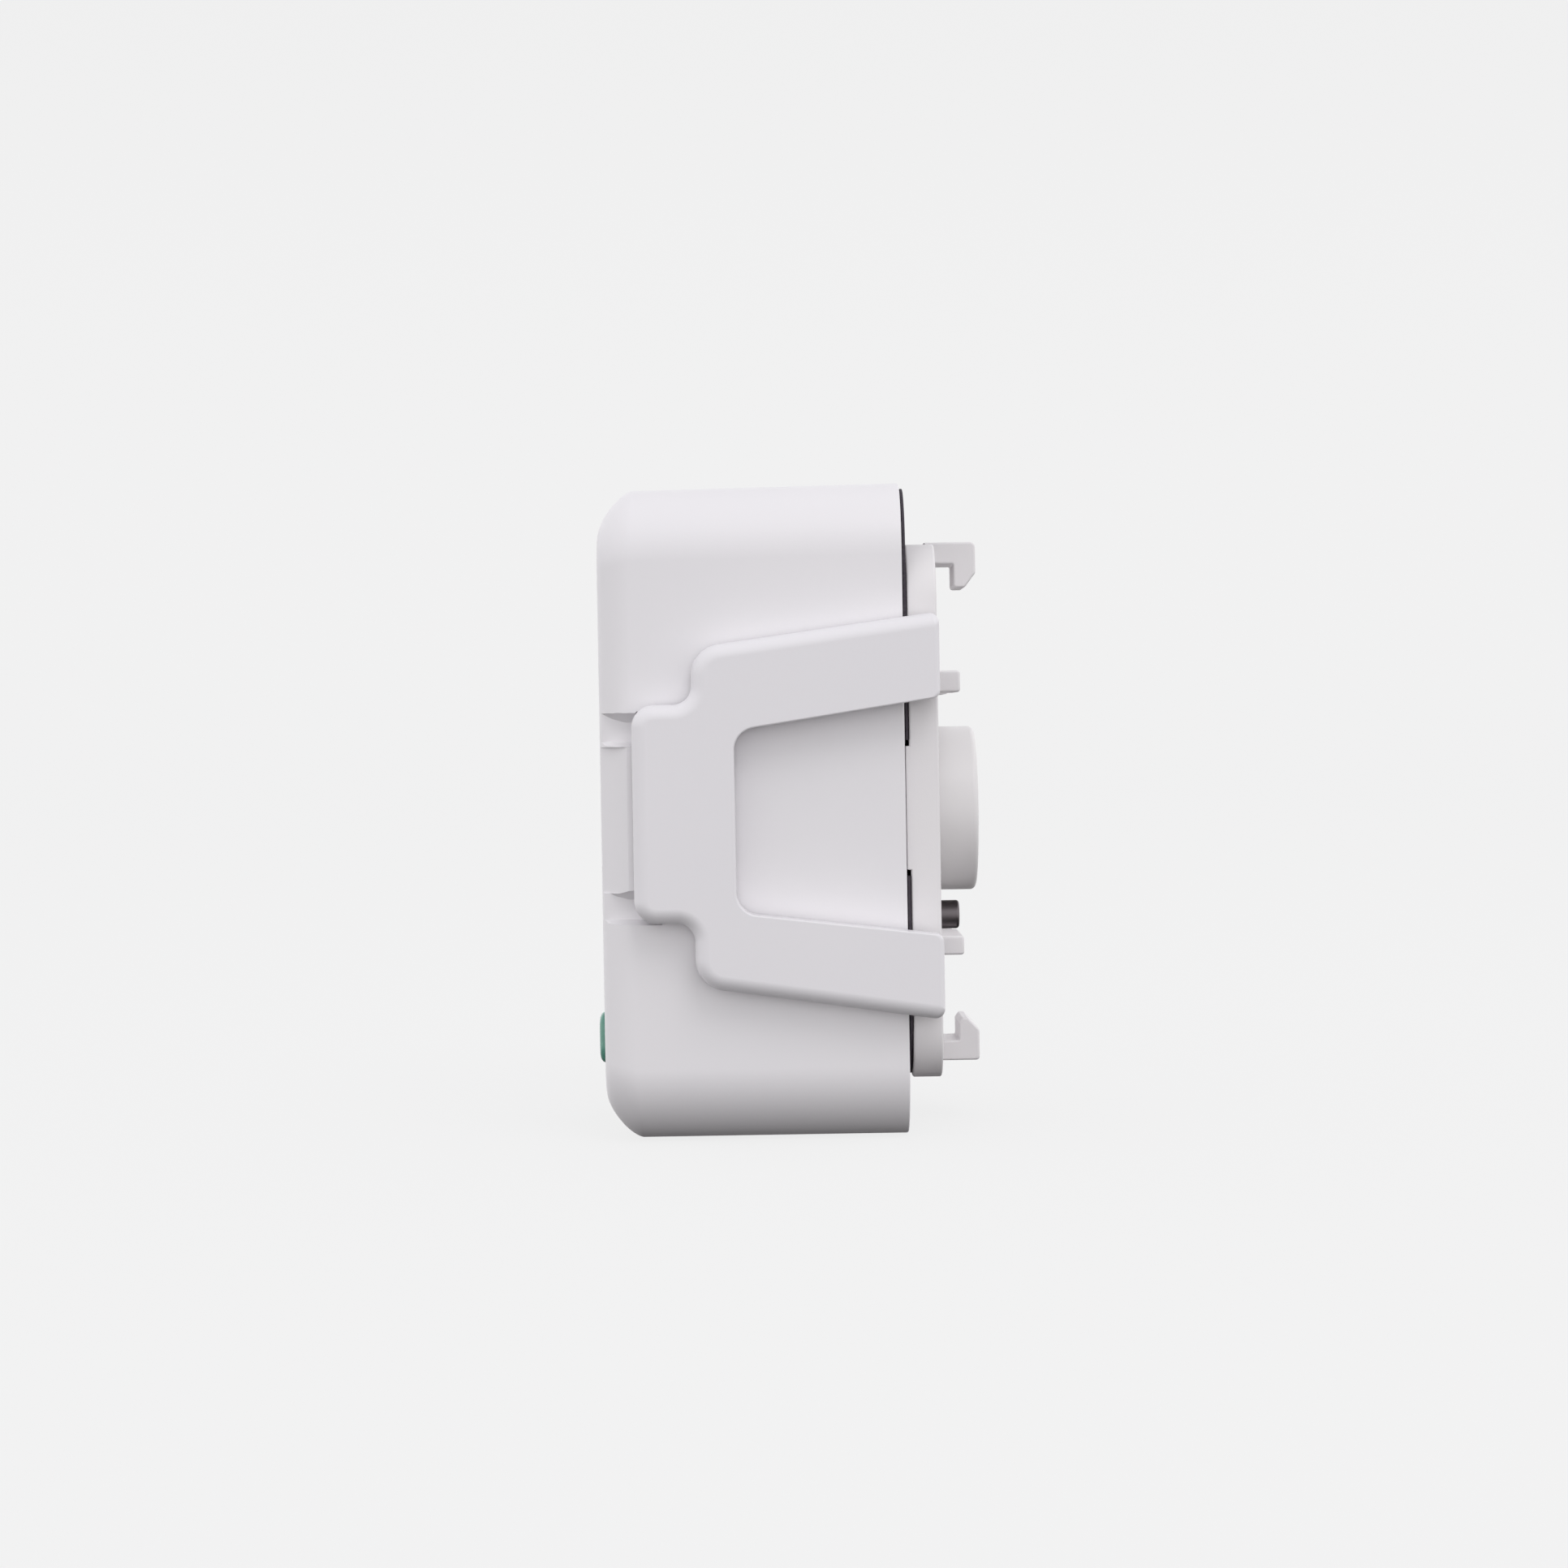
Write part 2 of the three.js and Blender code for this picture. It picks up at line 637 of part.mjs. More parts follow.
// ---------------------------------------------------------------- sensing pin and indicator
const sensePin = turned(
  "X",
  [
    [0, SENSE.inner],
    [SENSE.radius, SENSE.inner],
    [SENSE.radius, SENSE.outer - 0.4],
    [SENSE.radius - 0.4, SENSE.outer],
    [0, SENSE.outer],
  ],
  [0, SENSE.z],
  20,
);
latch.add(piece("sense_pin", sensePin, MATERIAL.pin));

// The link grips the pin's inner end, drops past the chassis and runs forward to the indicator.
function indicatorLink() {
  const { front, rodY, rodZ, half, armFront, armRear } = LINK;
  const arm = [armFront, armRear];
  const hub = cut(
    rod("X", 3.6, arm, [0, SENSE.z], 20),
    box([0, 20], [-5, 5], [31.4, 40]),
    rod("X", SENSE.radius + 0.05, [SENSE.inner - 0.1, 20], [0, SENSE.z], 20),
  );
  const sideways = cut(
    box(arm, [0, rodY + half], [SENSE.z - 1.6, SENSE.z + 1.2]),
    rod("X", 3, [0, 20], [0, SENSE.z], 20),
  );
  return join(
    hub,
    sideways,
    box(arm, [rodY - half, rodY + half], [rodZ - half, SENSE.z + 1.2]),
    box([front, armRear], [rodY - half, rodY + half], [rodZ - half, rodZ + half]),
    box([front, front + 2], [-6, rodY + half], [rodZ - half, rodZ + half]),
  );
}
latch.add(piece("indicator_link", indicatorLink(), MATERIAL.acetal));
latch.add(
  coilPiece("sense_spring", {
    radius: 2.2,
    length: 3.6,
    turns: 4,
    wire: [0.25, 32, 4],
    from: 0.75,
    z: SENSE.z,
  }),
);

// The raised lens, and the neck on its back that reaches the link under the button's carrier.
function statusIndicator() {
  const { front, back, half, bottom, top, neckHalf } = INDICATOR;
  const edge = 0.5;
  const lens = extrude(
    "X",
    rectangle([edge - half, half - edge], [bottom + edge, top - edge], 2.1),
    [front + edge, back - edge],
    { bevelEnabled: true, bevelThickness: edge, bevelSize: edge, bevelSegments: 1 },
  );
  const neckHeight = [LINK.rodZ - LINK.half, LINK.rodZ + LINK.half];
  return join(lens, box([back - 1, LINK.front - GAP], [-neckHalf, neckHalf], neckHeight));
}
latch.add(piece("status_indicator", statusIndicator(), MATERIAL.green));

function indicatorBezel() {
  const { front } = HOUSING;
  const shape = ({ half, bottom, top }, radius) => rectangle([-half, half], [bottom, top], radius);
  const flange = extrude("X", shape(BEZEL.flange, 3.6), [front - 0.7, front - 0.05]);
  const sleeve = extrude("X", shape(BEZEL.sleeve, 3), [front - 0.2, front + 2.3]);
  const mouth = extrude("X", shape(BEZEL.mouth, 2.6), [front - 2, front + 4]);
  return cut(join(flange, sleeve), mouth);
}
latch.add(piece("indicator_bezel", indicatorBezel(), MATERIAL.white));

export default latch;
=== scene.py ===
"""Looks of the stair gate latch. Shapes are built in millimetres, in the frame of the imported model, then
scaled to metres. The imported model's boxes say where each piece goes."""
import math

import bmesh
import bpy
from mathutils import Matrix, Vector

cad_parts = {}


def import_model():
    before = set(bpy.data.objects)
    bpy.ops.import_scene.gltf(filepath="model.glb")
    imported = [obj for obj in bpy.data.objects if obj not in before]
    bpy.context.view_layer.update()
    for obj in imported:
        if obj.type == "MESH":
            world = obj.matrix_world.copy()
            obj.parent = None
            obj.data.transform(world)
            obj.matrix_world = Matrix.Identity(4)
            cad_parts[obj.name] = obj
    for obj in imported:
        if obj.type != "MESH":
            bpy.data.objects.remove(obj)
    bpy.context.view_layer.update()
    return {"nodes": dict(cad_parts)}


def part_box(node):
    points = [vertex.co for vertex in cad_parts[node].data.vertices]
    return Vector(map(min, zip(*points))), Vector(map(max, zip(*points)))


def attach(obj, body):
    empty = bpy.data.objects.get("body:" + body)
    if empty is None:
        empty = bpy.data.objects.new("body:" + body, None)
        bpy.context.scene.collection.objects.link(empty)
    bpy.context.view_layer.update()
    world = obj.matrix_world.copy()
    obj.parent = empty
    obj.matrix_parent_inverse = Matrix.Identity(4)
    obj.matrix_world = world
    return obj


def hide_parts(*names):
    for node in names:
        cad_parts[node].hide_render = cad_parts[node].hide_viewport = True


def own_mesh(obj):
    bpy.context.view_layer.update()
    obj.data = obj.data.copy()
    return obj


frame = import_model()

MM = 0.001
CLIP_PINS = [f"clip_pin_{end}_{side}" for end in ("upper", "lower") for side in ("near", "far")]
ROCKER_PINS = ("rocker_pin_upper", "rocker_pin_lower")
CASE_SCREWS = [f"case_screw_{i}" for i in (1, 2, 3, 4)]
CHASSIS_SCREWS = [f"chassis_screw_{i}" for i in (1, 2, 3, 4)]


def limits(node):
    """Lowest and highest corner of a CAD node, in millimetres."""
    low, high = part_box(node)
    return low / MM, high / MM


def middle(node, axes="yz"):
    """The middle of a CAD node's box along two axes, in millimetres."""
    low, high = limits(node)
    return tuple((getattr(low, a) + getattr(high, a)) / 2 for a in axes)


SHELL_LOW, SHELL_HIGH = limits("front_shell")
PLATE_LOW, PLATE_HIGH = limits("mount_plate")
CLIP_LOW, _ = limits("side_clip_near")
BOLT_LOW, BOLT_HIGH = limits("latch_bolt")
SENSE_LOW, SENSE_HIGH = limits("sense_pin")
BUTTON_LOW, BUTTON_HIGH = limits("release_button")
LENS_LOW, LENS_HIGH = limits("status_indicator")
BEZEL_LOW, BEZEL_HIGH = limits("indicator_bezel")
GASKET_LOW, GASKET_HIGH = limits("rear_gasket")

BOLT_Z = (BOLT_LOW.z + BOLT_HIGH.z) / 2
SENSE_Z = (SENSE_LOW.z + SENSE_HIGH.z) / 2
BOLT_RADIUS = (BOLT_HIGH.y - BOLT_LOW.y) / 2
CORNER = 10.0  # radius of the housing's long edges
WALL = 2.4  # thickness of the housing
HALF = SHELL_HIGH.y  # half the housing's width
HINGE_X, HINGE_Y = 18.2, 25.2  # where the clips' upright hinge axes are, Y on either side


# ------------------------------------------------------------------ mesh code
def mesh_object(name, points, faces):
    """A new object from points in millimetres, its faces turned outwards."""
    mesh = bpy.data.meshes.new(name)
    mesh.from_pydata([Vector(p) * MM for p in points], [], faces)
    tidy = bmesh.new()
    tidy.from_mesh(mesh)
    bmesh.ops.remove_doubles(tidy, verts=tidy.verts, dist=1e-7)
    bmesh.ops.recalc_face_normals(tidy, faces=tidy.faces)
    tidy.to_mesh(mesh)
    tidy.free()
    obj = bpy.data.objects.new(name, mesh)
    bpy.context.scene.collection.objects.link(obj)
    return obj


def quarter(steps):
    """Pairs (1 - sin, 1 - cos) round a quarter turn, from (1, 0) to (0, 1). No steps give the first only."""
    angles = [math.pi / 2 * k / max(steps, 1) for k in range(steps + 1)]
    return [(1 - math.sin(angle), 1 - math.cos(angle)) for angle in angles]


def skin(count, rows):
    """Faces between rows of equally many points, each row closed on itself."""
    faces = []
    for row in range(rows - 1):
        here, there = row * count, (row + 1) * count
        for i in range(count):
            j = (i + 1) % count
            faces.append((here + i, here + j, there + j, there + i))
    return faces


def loft(name, rings):
    """A skin over rings of equally many points, with flat ends."""
    count = len(rings[0])
    points = [p for ring in rings for p in ring]
    first = tuple(range(count))
    last = tuple(reversed(range(len(points) - count, len(points))))
    return mesh_object(name, points, [*skin(count, len(rings)), first, last])


def turned(name, profile, centre, axis="X", segments=96):
    """A body of revolution. The profile holds (radius, place along the axis), from the axis back to it."""
    points, faces = [], []
    u, v = centre
    rows = []
    for radius, along in profile:
        if radius < 1e-6:
            rows.append([len(points)] * segments)
            points.append((along, u, v))
            continue
        rows.append(list(range(len(points), len(points) + segments)))
        for i in range(segments):
            angle = 2 * math.pi * i / segments
            points.append((along, u + radius * math.cos(angle), v + radius * math.sin(angle)))
    for here, there in zip(rows, rows[1:]):
        for i in range(segments):
            j = (i + 1) % segments
            face = []
            for vertex in (here[i], here[j], there[j], there[i]):
                if vertex not in face:
                    face.append(vertex)
            if len(face) > 2:
                faces.append(face)
    if axis == "Y":
        points = [(v_, a, u_) for a, u_, v_ in points]
    if axis == "Z":
        points = [(u_, v_, a) for a, u_, v_ in points]
    return mesh_object(name, points, faces)


def anticlockwise(corners, softness):
    """The corners in anticlockwise order, each with the softness of the edge that leaves it."""
    count = len(corners)
    area = sum(corners[i - 1][0] * corners[i][1] - corners[i][0] * corners[i - 1][1] for i in range(count))
    soft = list(softness) if isinstance(softness, (list, tuple)) else [softness] * count
    order = range(count) if area > 0 else reversed(range(count))
    return [(*corners[i], soft[i if area > 0 else i - 1]) for i in order]


def drawn_in(corners, share, steps):
    """Points round an outline, each edge drawn in by a share of its softness. The third number of a point is
    the softness there, which changes evenly along a corner's arc."""
    lines = []
    for i, (u, v, _, soft) in enumerate(corners):
        along = (Vector(corners[(i + 1) % len(corners)][:2]) - Vector((u, v))).normalized()
        inwards = Vector((-along.y, along.x))
        lines.append((Vector((u, v)) + inwards * soft * share, along))
    points = []
    for i, (_, _, radius, soft) in enumerate(corners):
        (p, s), (q, t) = lines[i - 1], lines[i]
        cross = s.x * t.y - s.y * t.x
        reach = ((q - p).x * t.y - (q - p).y * t.x) / cross
        at = p + s * reach
        before_soft = corners[i - 1][3]
        inset = share * (before_soft + soft) / 2
        radius = max(radius - inset if cross > 0 else radius + inset, 0.02)
        half = (-s).angle(t) / 2
        centre = at + (t - s).normalized() * (radius / math.sin(half))
        start = at - s * (radius / math.tan(half)) - centre
        turn = (math.pi - 2 * half) * (1 if cross > 0 else -1)
        for k in range(steps + 1):
            arm = Matrix.Rotation(turn * k / steps, 2) @ start
            blend = before_soft + (soft - before_soft) * k / steps
            points.append((*(centre + arm), blend))
    return points


def rectangle(u0, u1, v0, v1, radius):
    """The four corners of an outline, each as (u, v, radius)."""
    return [(u0, v0, radius), (u1, v0, radius), (u1, v1, radius), (u0, v1, radius)]


def placed(axis, u, v, along):
    """A point of an outline, which lies in (Y, Z), (Z, X) or (X, Y), at a place along the axis."""
    return {"X": (along, u, v), "Y": (v, along, u), "Z": (u, v, along)}[axis]


def slab(name, axis, corners, low, high, soft=0.3, soft_low=None, steps=4, arc=8):
    """An outline with corners (u, v, radius) extruded from low to high along an axis. Its edges are rounded:
    soft is the radius, or a list with one for the edge that leaves each corner, and soft_low is the same
    for the low end."""
    rings = []
    for end, place, softness in ((1, low, soft if soft_low is None else soft_low), (-1, high, soft)):
        loop = anticlockwise(corners, softness)
        half = []
        for share, rise in quarter(steps):
            ring = drawn_in(loop, share, arc)
            half.append([placed(axis, u, v, place + end * r * rise) for u, v, r in ring])
        rings += half if end > 0 else half[::-1]
    return loft(name, rings)


def block(name, xs, ys, zs, soft=0.25, steps=3):
    """A box with rounded edges and corners."""
    return slab(name, "X", rectangle(*ys, *zs, soft), *xs, soft=soft, steps=steps, arc=steps)


def rod(name, radius, low, high, centre, axis="X", soft=0.0, segments=48):
    """A cylinder, with its end edges rounded."""
    bend = quarter(4 if soft else 0)
    profile = [(0, low)]
    profile += [(radius - soft * a, low + soft * b) for a, b in bend]
    profile += [(radius - soft * b, high - soft * a) for a, b in bend]
    profile.append((0, high))
    return turned(name, profile, centre, axis, segments)


def bake(obj):
    """Applies the object's modifiers."""
    graph = bpy.context.evaluated_depsgraph_get()
    made = bpy.data.meshes.new_from_object(obj.evaluated_get(graph))
    obj.modifiers.clear()
    obj.data = made


def combine(body, tools, operation):
    """Joins or cuts a body with tools, which are used up."""
    for tool in tools:
        modifier = body.modifiers.new("combine", "BOOLEAN")
        modifier.operation = operation
        modifier.solver = "EXACT"
        modifier.object = tool
    bake(body)
    for tool in tools:
        bpy.data.objects.remove(tool)
    return body


def shade(obj, angle=35):
    """Smooth shading that keeps the edges sharper than the angle."""
    obj.data.polygons.foreach_set("use_smooth", [True] * len(obj.data.polygons))
    obj.data.set_sharp_from_angle(angle=math.radians(angle))
    normals = obj.modifiers.new("normals", "WEIGHTED_NORMAL")
    normals.keep_sharp = True
    return obj


def mirrored(obj, name):
    """A copy of the object on the other side of Y = 0."""
    mesh = obj.data.copy()
    mesh.transform(Matrix.Scale(-1, 4, (0, 1, 0)))
    mesh.flip_normals()
    other = bpy.data.objects.new(name, mesh)
    bpy.context.scene.collection.objects.link(other)
    return other


def finished(obj, body, slot, *nodes, angle=35):
    """Shades the piece, gives it its slot's material, and puts it on a body in place of the CAD nodes."""
    shade(obj, angle)
    obj.data.materials.clear()
    obj.data.materials.append(MATERIALS[slot])
    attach(obj, body)
    if nodes:
        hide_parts(*nodes)
    return obj


# ------------------------------------------------------------------ materials
def shader(name):
    """A new material's node tree and its Principled shader."""
    material = bpy.data.materials.new(name)
    material.use_nodes = True
    tree = material.node_tree
    return material, tree, tree.nodes["Principled BSDF"]


def node(tree, kind, **settings):
    """A new node, each setting being an input's value or, failing that, a property."""
    made = tree.nodes.new(kind)
    for key, value in settings.items():
        if key in made.inputs:
            made.inputs[key].default_value = value
        else:
            setattr(made, key, value)
    return made


def noise(tree, scale, detail=2.0, stretch=(1, 1, 1)):
    """The value output of a noise texture in the model's own metres, scale being its cells per metre."""
    place = node(tree, "ShaderNodeTexCoord")
    mapping = node(tree, "ShaderNodeMapping")
    mapping.inputs["Scale"].default_value = stretch
    texture = node(tree, "ShaderNodeTexNoise", Scale=scale, Detail=detail)
    tree.links.new(place.outputs["Object"], mapping.inputs["Vector"])
    tree.links.new(mapping.outputs["Vector"], texture.inputs["Vector"])
    return texture.outputs["Fac"]


def ranged(tree, value, low, high):
    """Maps the middle of a noise, 0.3 to 0.7, to low to high."""
    made = node(tree, "ShaderNodeMapRange")
    made.inputs["From Min"].default_value = 0.3
    made.inputs["From Max"].default_value = 0.7
    made.inputs["To Min"].default_value = low
    made.inputs["To Max"].default_value = high
    tree.links.new(value, made.inputs["Value"])
    return made.outputs["Result"]


def tinted(tree, value, first, second):
    """A colour between two, chosen by a value from 0 to 1."""
    mix = node(tree, "ShaderNodeMix", data_type="RGBA")
    tree.links.new(value, mix.inputs["Factor"])
    mix.inputs["A"].default_value = (*first, 1)
    mix.inputs["B"].default_value = (*second, 1)
    return mix.outputs["Result"]


def bumped(tree, heights, strength=1.0):
    """A normal from a list of (value, depth in metres), one bump on the other."""
    normal = None
    for value, depth in heights:
        bump = node(tree, "ShaderNodeBump", Strength=strength, Distance=depth)
        tree.links.new(value, bump.inputs["Height"])
        if normal:
            tree.links.new(normal, bump.inputs["Normal"])
        normal = bump.outputs["Normal"]
    return normal


def moulded(name, colour, roughness, grain=1.0, shift=0.012):
    """Moulded plastic: a fine spark-eroded grain, faint flow marks, and a slightly uneven tone and gloss."""
    material, tree, principled = shader(name)
    cloud = ranged(tree, noise(tree, 55, 3), 0, 1)
    darker = [c * (1 - shift) for c in colour]
    warmer = [colour[0], colour[1] * (1 - shift / 6), colour[2] * (1 - shift / 2)]
    tree.links.new(tinted(tree, cloud, darker, warmer), principled.inputs["Base Color"])
    gloss = ranged(tree, noise(tree, 900, 4), roughness - 0.05, roughness + 0.06)
    tree.links.new(gloss, principled.inputs["Roughness"])
    principled.inputs["Specular IOR Level"].default_value = 0.45
    fine = noise(tree, 4200, 3)
    flow = noise(tree, 120, 2, (1, 1, 0.25))
    normal = bumped(tree, [(flow, 0.00003), (fine, 0.000010 * grain)], 0.6)
    tree.links.new(normal, principled.inputs["Normal"])
    return material


def foam(name, colour):
    """Closed-cell foam: small open cells on a dull dark body. The dark body is partly painted shade: it
    stands in for the shaded gap the gasket sits in.
    """
    material, tree, principled = shader(name)
    place = node(tree, "ShaderNodeTexCoord")
    cells = node(tree, "ShaderNodeTexVoronoi", Scale=2600.0)
    tree.links.new(place.outputs["Object"], cells.inputs["Vector"])
    tone = ranged(tree, noise(tree, 1500, 4), 0, 1)
    lighter = [c * 1.3 for c in colour]
    tree.links.new(tinted(tree, tone, colour, lighter), principled.inputs["Base Color"])
    principled.inputs["Roughness"].default_value = 0.88
    principled.inputs["Specular IOR Level"].default_value = 0.2
    normal = bumped(tree, [(cells.outputs["Distance"], 0.00012)], 0.8)
    tree.links.new(normal, principled.inputs["Normal"])
    return material


def metal(name, colour, roughness, stretch=(0.1, 1, 1), lines=2200):
    """Steel with fine turned or drawn lines, and slightly uneven gloss."""
    material, tree, principled = shader(name)
    line = noise(tree, lines, 3, stretch)
    cloud = ranged(tree, noise(tree, 260, 3), 0, 1)
    darker = [c * 0.86 for c in colour]
    tree.links.new(tinted(tree, cloud, darker, colour), principled.inputs["Base Color"])
    principled.inputs["Metallic"].default_value = 1.0
    gloss = ranged(tree, line, roughness - 0.06, roughness + 0.1)
    tree.links.new(gloss, principled.inputs["Roughness"])
    tree.links.new(bumped(tree, [(line, 0.000012)], 0.7), principled.inputs["Normal"])
    return material


def lens(name, colour):
    """Clear-skinned green plastic with a little depth."""
    material, tree, principled = shader(name)
    cloud = ranged(tree, noise(tree, 320, 3), 0, 1)
    deeper = [c * 0.8 for c in colour]
    tree.links.new(tinted(tree, cloud, deeper, colour), principled.inputs["Base Color"])
    principled.inputs["Roughness"].default_value = 0.22
    principled.inputs["Subsurface Weight"].default_value = 0.25
    principled.inputs["Subsurface Radius"].default_value = (0.4, 1.0, 0.6)
    principled.inputs["Subsurface Scale"].default_value = 0.0015
    principled.inputs["Coat Weight"].default_value = 0.5
    principled.inputs["Coat Roughness"].default_value = 0.08
    tree.links.new(bumped(tree, [(noise(tree, 500, 2), 0.00002)], 0.4), principled.inputs["Normal"])
    return material


MATERIALS = {
    "housing_white": moulded("housing_white", (0.83, 0.815, 0.835), 0.42),
    "clip_white": moulded("clip_white", (0.82, 0.805, 0.83), 0.40),
    "plate_white": moulded("plate_white", (0.82, 0.80, 0.81), 0.47, grain=1.4),
    "bolt_white": moulded("bolt_white", (0.80, 0.785, 0.785), 0.38, grain=0.6),
    "button_white": moulded("button_white", (0.84, 0.825, 0.84), 0.38),
    "acetal": moulded("acetal", (0.74, 0.74, 0.75), 0.34, grain=0.6),
    "inner_frame": moulded("inner_frame", (0.21, 0.22, 0.24), 0.5, grain=1.6, shift=0.08),
    # gasket: dark foam that is partly painted shade, standing in for the shaded gap between housing and
    # plate
    "gasket_foam": foam("gasket_foam", (0.055, 0.048, 0.058)),
    "indicator_green": lens("indicator_green", (0.12, 0.35, 0.265)),
    "pin_steel": metal("pin_steel", (0.19, 0.172, 0.178), 0.38),
    "screw_steel": metal("screw_steel", (0.60, 0.60, 0.62), 0.34, (1, 1, 1), 900),
    "spring_steel": metal("spring_steel", (0.52, 0.53, 0.55), 0.26, (1, 1, 1), 1500),
}


# ------------------------------------------------------------------ housing
# A front rim: its depth, how far in it ends, and its power, where 1 is a chamfer and 2 an ellipse.
END_RIM = (4.8, 6.0, 1.45)  # at the top and bottom
SIDE_RIM = (4.4, 4.6, 1.8)
RIM_STEPS = 22
REAR_LIP = 0.25  # rounding of the open rear edge
TOP_DRAFT = 0.5
SIDE_DRAFT = 0.25
LOWER_POCKET = (29.2, 34.1)
UPPER_POCKET = (52.9, 57.7)
POCKET_DEPTH = 2.4
POCKET_REAR = -17.0
POCKET_FLOOR = (  # x, depth below the side face: the floor runs out at the front
    (-27.0, 5.2), (-24.9, 3.4), (-24.3, 2.95), (-23.2, 2.6), (-21.5, 2.45), (-20.1, POCKET_DEPTH),
)
BUTTON_HOLE = 14.35
CASE_POST_REAR = 12.3


def rim_inset(back, rim):
    """How far in the housing's outline is, at a distance back from the front face."""
    depth, inset, power = rim
    if back >= depth:
        return 0.0
    left = (1 - back / depth) ** power
    return inset * (1 - (1 - left) ** (1 / power))


def housing_ring(x, end_inset, side_inset, wall=0.0, steps=14):
    """The housing's outline at x, drawn in by the rim's rounding and the wall."""
    share = (SHELL_HIGH.x - x) / (SHELL_HIGH.x - SHELL_LOW.x)
    side = HALF - side_inset - wall - SIDE_DRAFT * share
    low = SHELL_LOW.z + end_inset + wall
    high = SHELL_HIGH.z - end_inset - wall - TOP_DRAFT * share
    radius = max(CORNER - (end_inset + side_inset) / 2 - wall, 1.0)
    corners = anticlockwise(rectangle(-side, side, low, high, radius), 0.0)
    return [(x, y, z) for y, z, _ in drawn_in(corners, 0.0, steps)]


def open_shell():
    """The housing's skin, outside and inside, open to the rear."""
    front, rear = SHELL_LOW.x, SHELL_HIGH.x
    rings = []
    for _, share in quarter(RIM_STEPS):
        back = END_RIM[0] * share
        rings.append(housing_ring(front + back, rim_inset(back, END_RIM), rim_inset(back, SIDE_RIM)))
    for share in (0.1, 0.3, 0.6, 0.9):
        x = front + END_RIM[0] + (rear - REAR_LIP - front - END_RIM[0]) * share
        rings.append(housing_ring(x, 0.0, 0.0))
    for a, b in quarter(4):
        rings.append(housing_ring(rear - REAR_LIP * a, REAR_LIP * b, REAR_LIP * b))
    rings.append(housing_ring(rear, 0.0, 0.0, WALL - 0.2))
    rings.append(housing_ring(rear - 0.2, 0.0, 0.0, WALL))
    rings.append(housing_ring(front + WALL + 3, 0.0, 0.0, WALL))
    rings.append(housing_ring(front + WALL + 1, 0.8, 0.8, WALL))
    rings.append(housing_ring(front + WALL, 3.0, 2.4, WALL))
    return loft("front_shell_piece", rings)


def pocket(side, low, high):
    """The tool for one catch pocket, whose visible front part has a sloping roof and a soft ledge."""
    roof_slope, ledge, hidden_ledge = 0.62, 0.75, 0.65
    stations = [(x, depth, ledge, roof_slope) for x, depth in POCKET_FLOOR]
    stations += [(x, POCKET_DEPTH, hidden_ledge, 0.0) for x in (-19.9, POCKET_REAR)]
    rings = []
    for x, depth, rise, slope in stations:
        surface = min(rim_inset(max(x - SHELL_LOW.x, 0.0), SIDE_RIM), depth)
        drop = slope * (depth - surface)
        edge = surface - 0.15
        section = (
            (depth, low + rise), (edge, low), (-2, low), (-2, high), (edge, high), (depth, high - drop),
        )
        rings.append([(x, side * (HALF - into), z) for into, z in section])
    return loft("pocket_tool", rings)


def flat(side):
    """The tool for the flat between two pockets, cut across the rounded rim."""
    low, high = LOWER_POCKET[1] - 0.6, UPPER_POCKET[0] + 0.1
    inner = [(-26.0, 4.95), (-20.9, -0.15), (-20.9, -4.0), (-26.0, -4.0)]
    rings = [[(x, side * (HALF - depth), z) for x, depth in inner] for z in (low, high)]
    return loft("flat_tool", rings)


def flared_hole(radius, front, rear, centre, flare):
    """The tool for a round hole whose front edge is rounded."""
    profile = [(0, front - 2), (radius + flare, front - 2)]
    profile += [(radius + flare * a, front + flare * b) for a, b in quarter(6)]
    profile += [(radius, rear), (0, rear)]
    return turned("hole_tool", profile, centre)


def front_shell():
    """The housing, with posts for its screws, thicker walls behind the pockets, and its openings."""
    front = SHELL_LOW.x
    shell = open_shell()
    added = [
        rod("post", 3.4, front + WALL - 0.6, CASE_POST_REAR, middle(screw), segments=32)
        for screw in CASE_SCREWS
    ]
    added += [
        block("pad", (-20.5, -12), sorted((side * 23.4, side * 26.4)), (26, 61))
        for side in (-1, 1)
    ]
    combine(shell, added, "UNION")
    tools = [pocket(side, *span) for side in (-1, 1) for span in (UPPER_POCKET, LOWER_POCKET)]
    tools.append(flared_hole(BUTTON_HOLE, front, front + WALL + 1.5, (0, BOLT_Z), 0.7))
    tools.append(slab("bezel_tool", "X", rectangle(-8.3, 8.3, 7.5, 17.3, 3), front - 1, front + 4, 0.1))
    tools += [flat(side) for side in (-1, 1)]
    combine(shell, tools, "DIFFERENCE")
    bores = [rod("bore", 1.35, -3, 14, middle(screw), segments=24) for screw in CASE_SCREWS]
    combine(shell, bores, "DIFFERENCE")
    return finished(shell, "housing", "housing_white", "front_shell", angle=28)


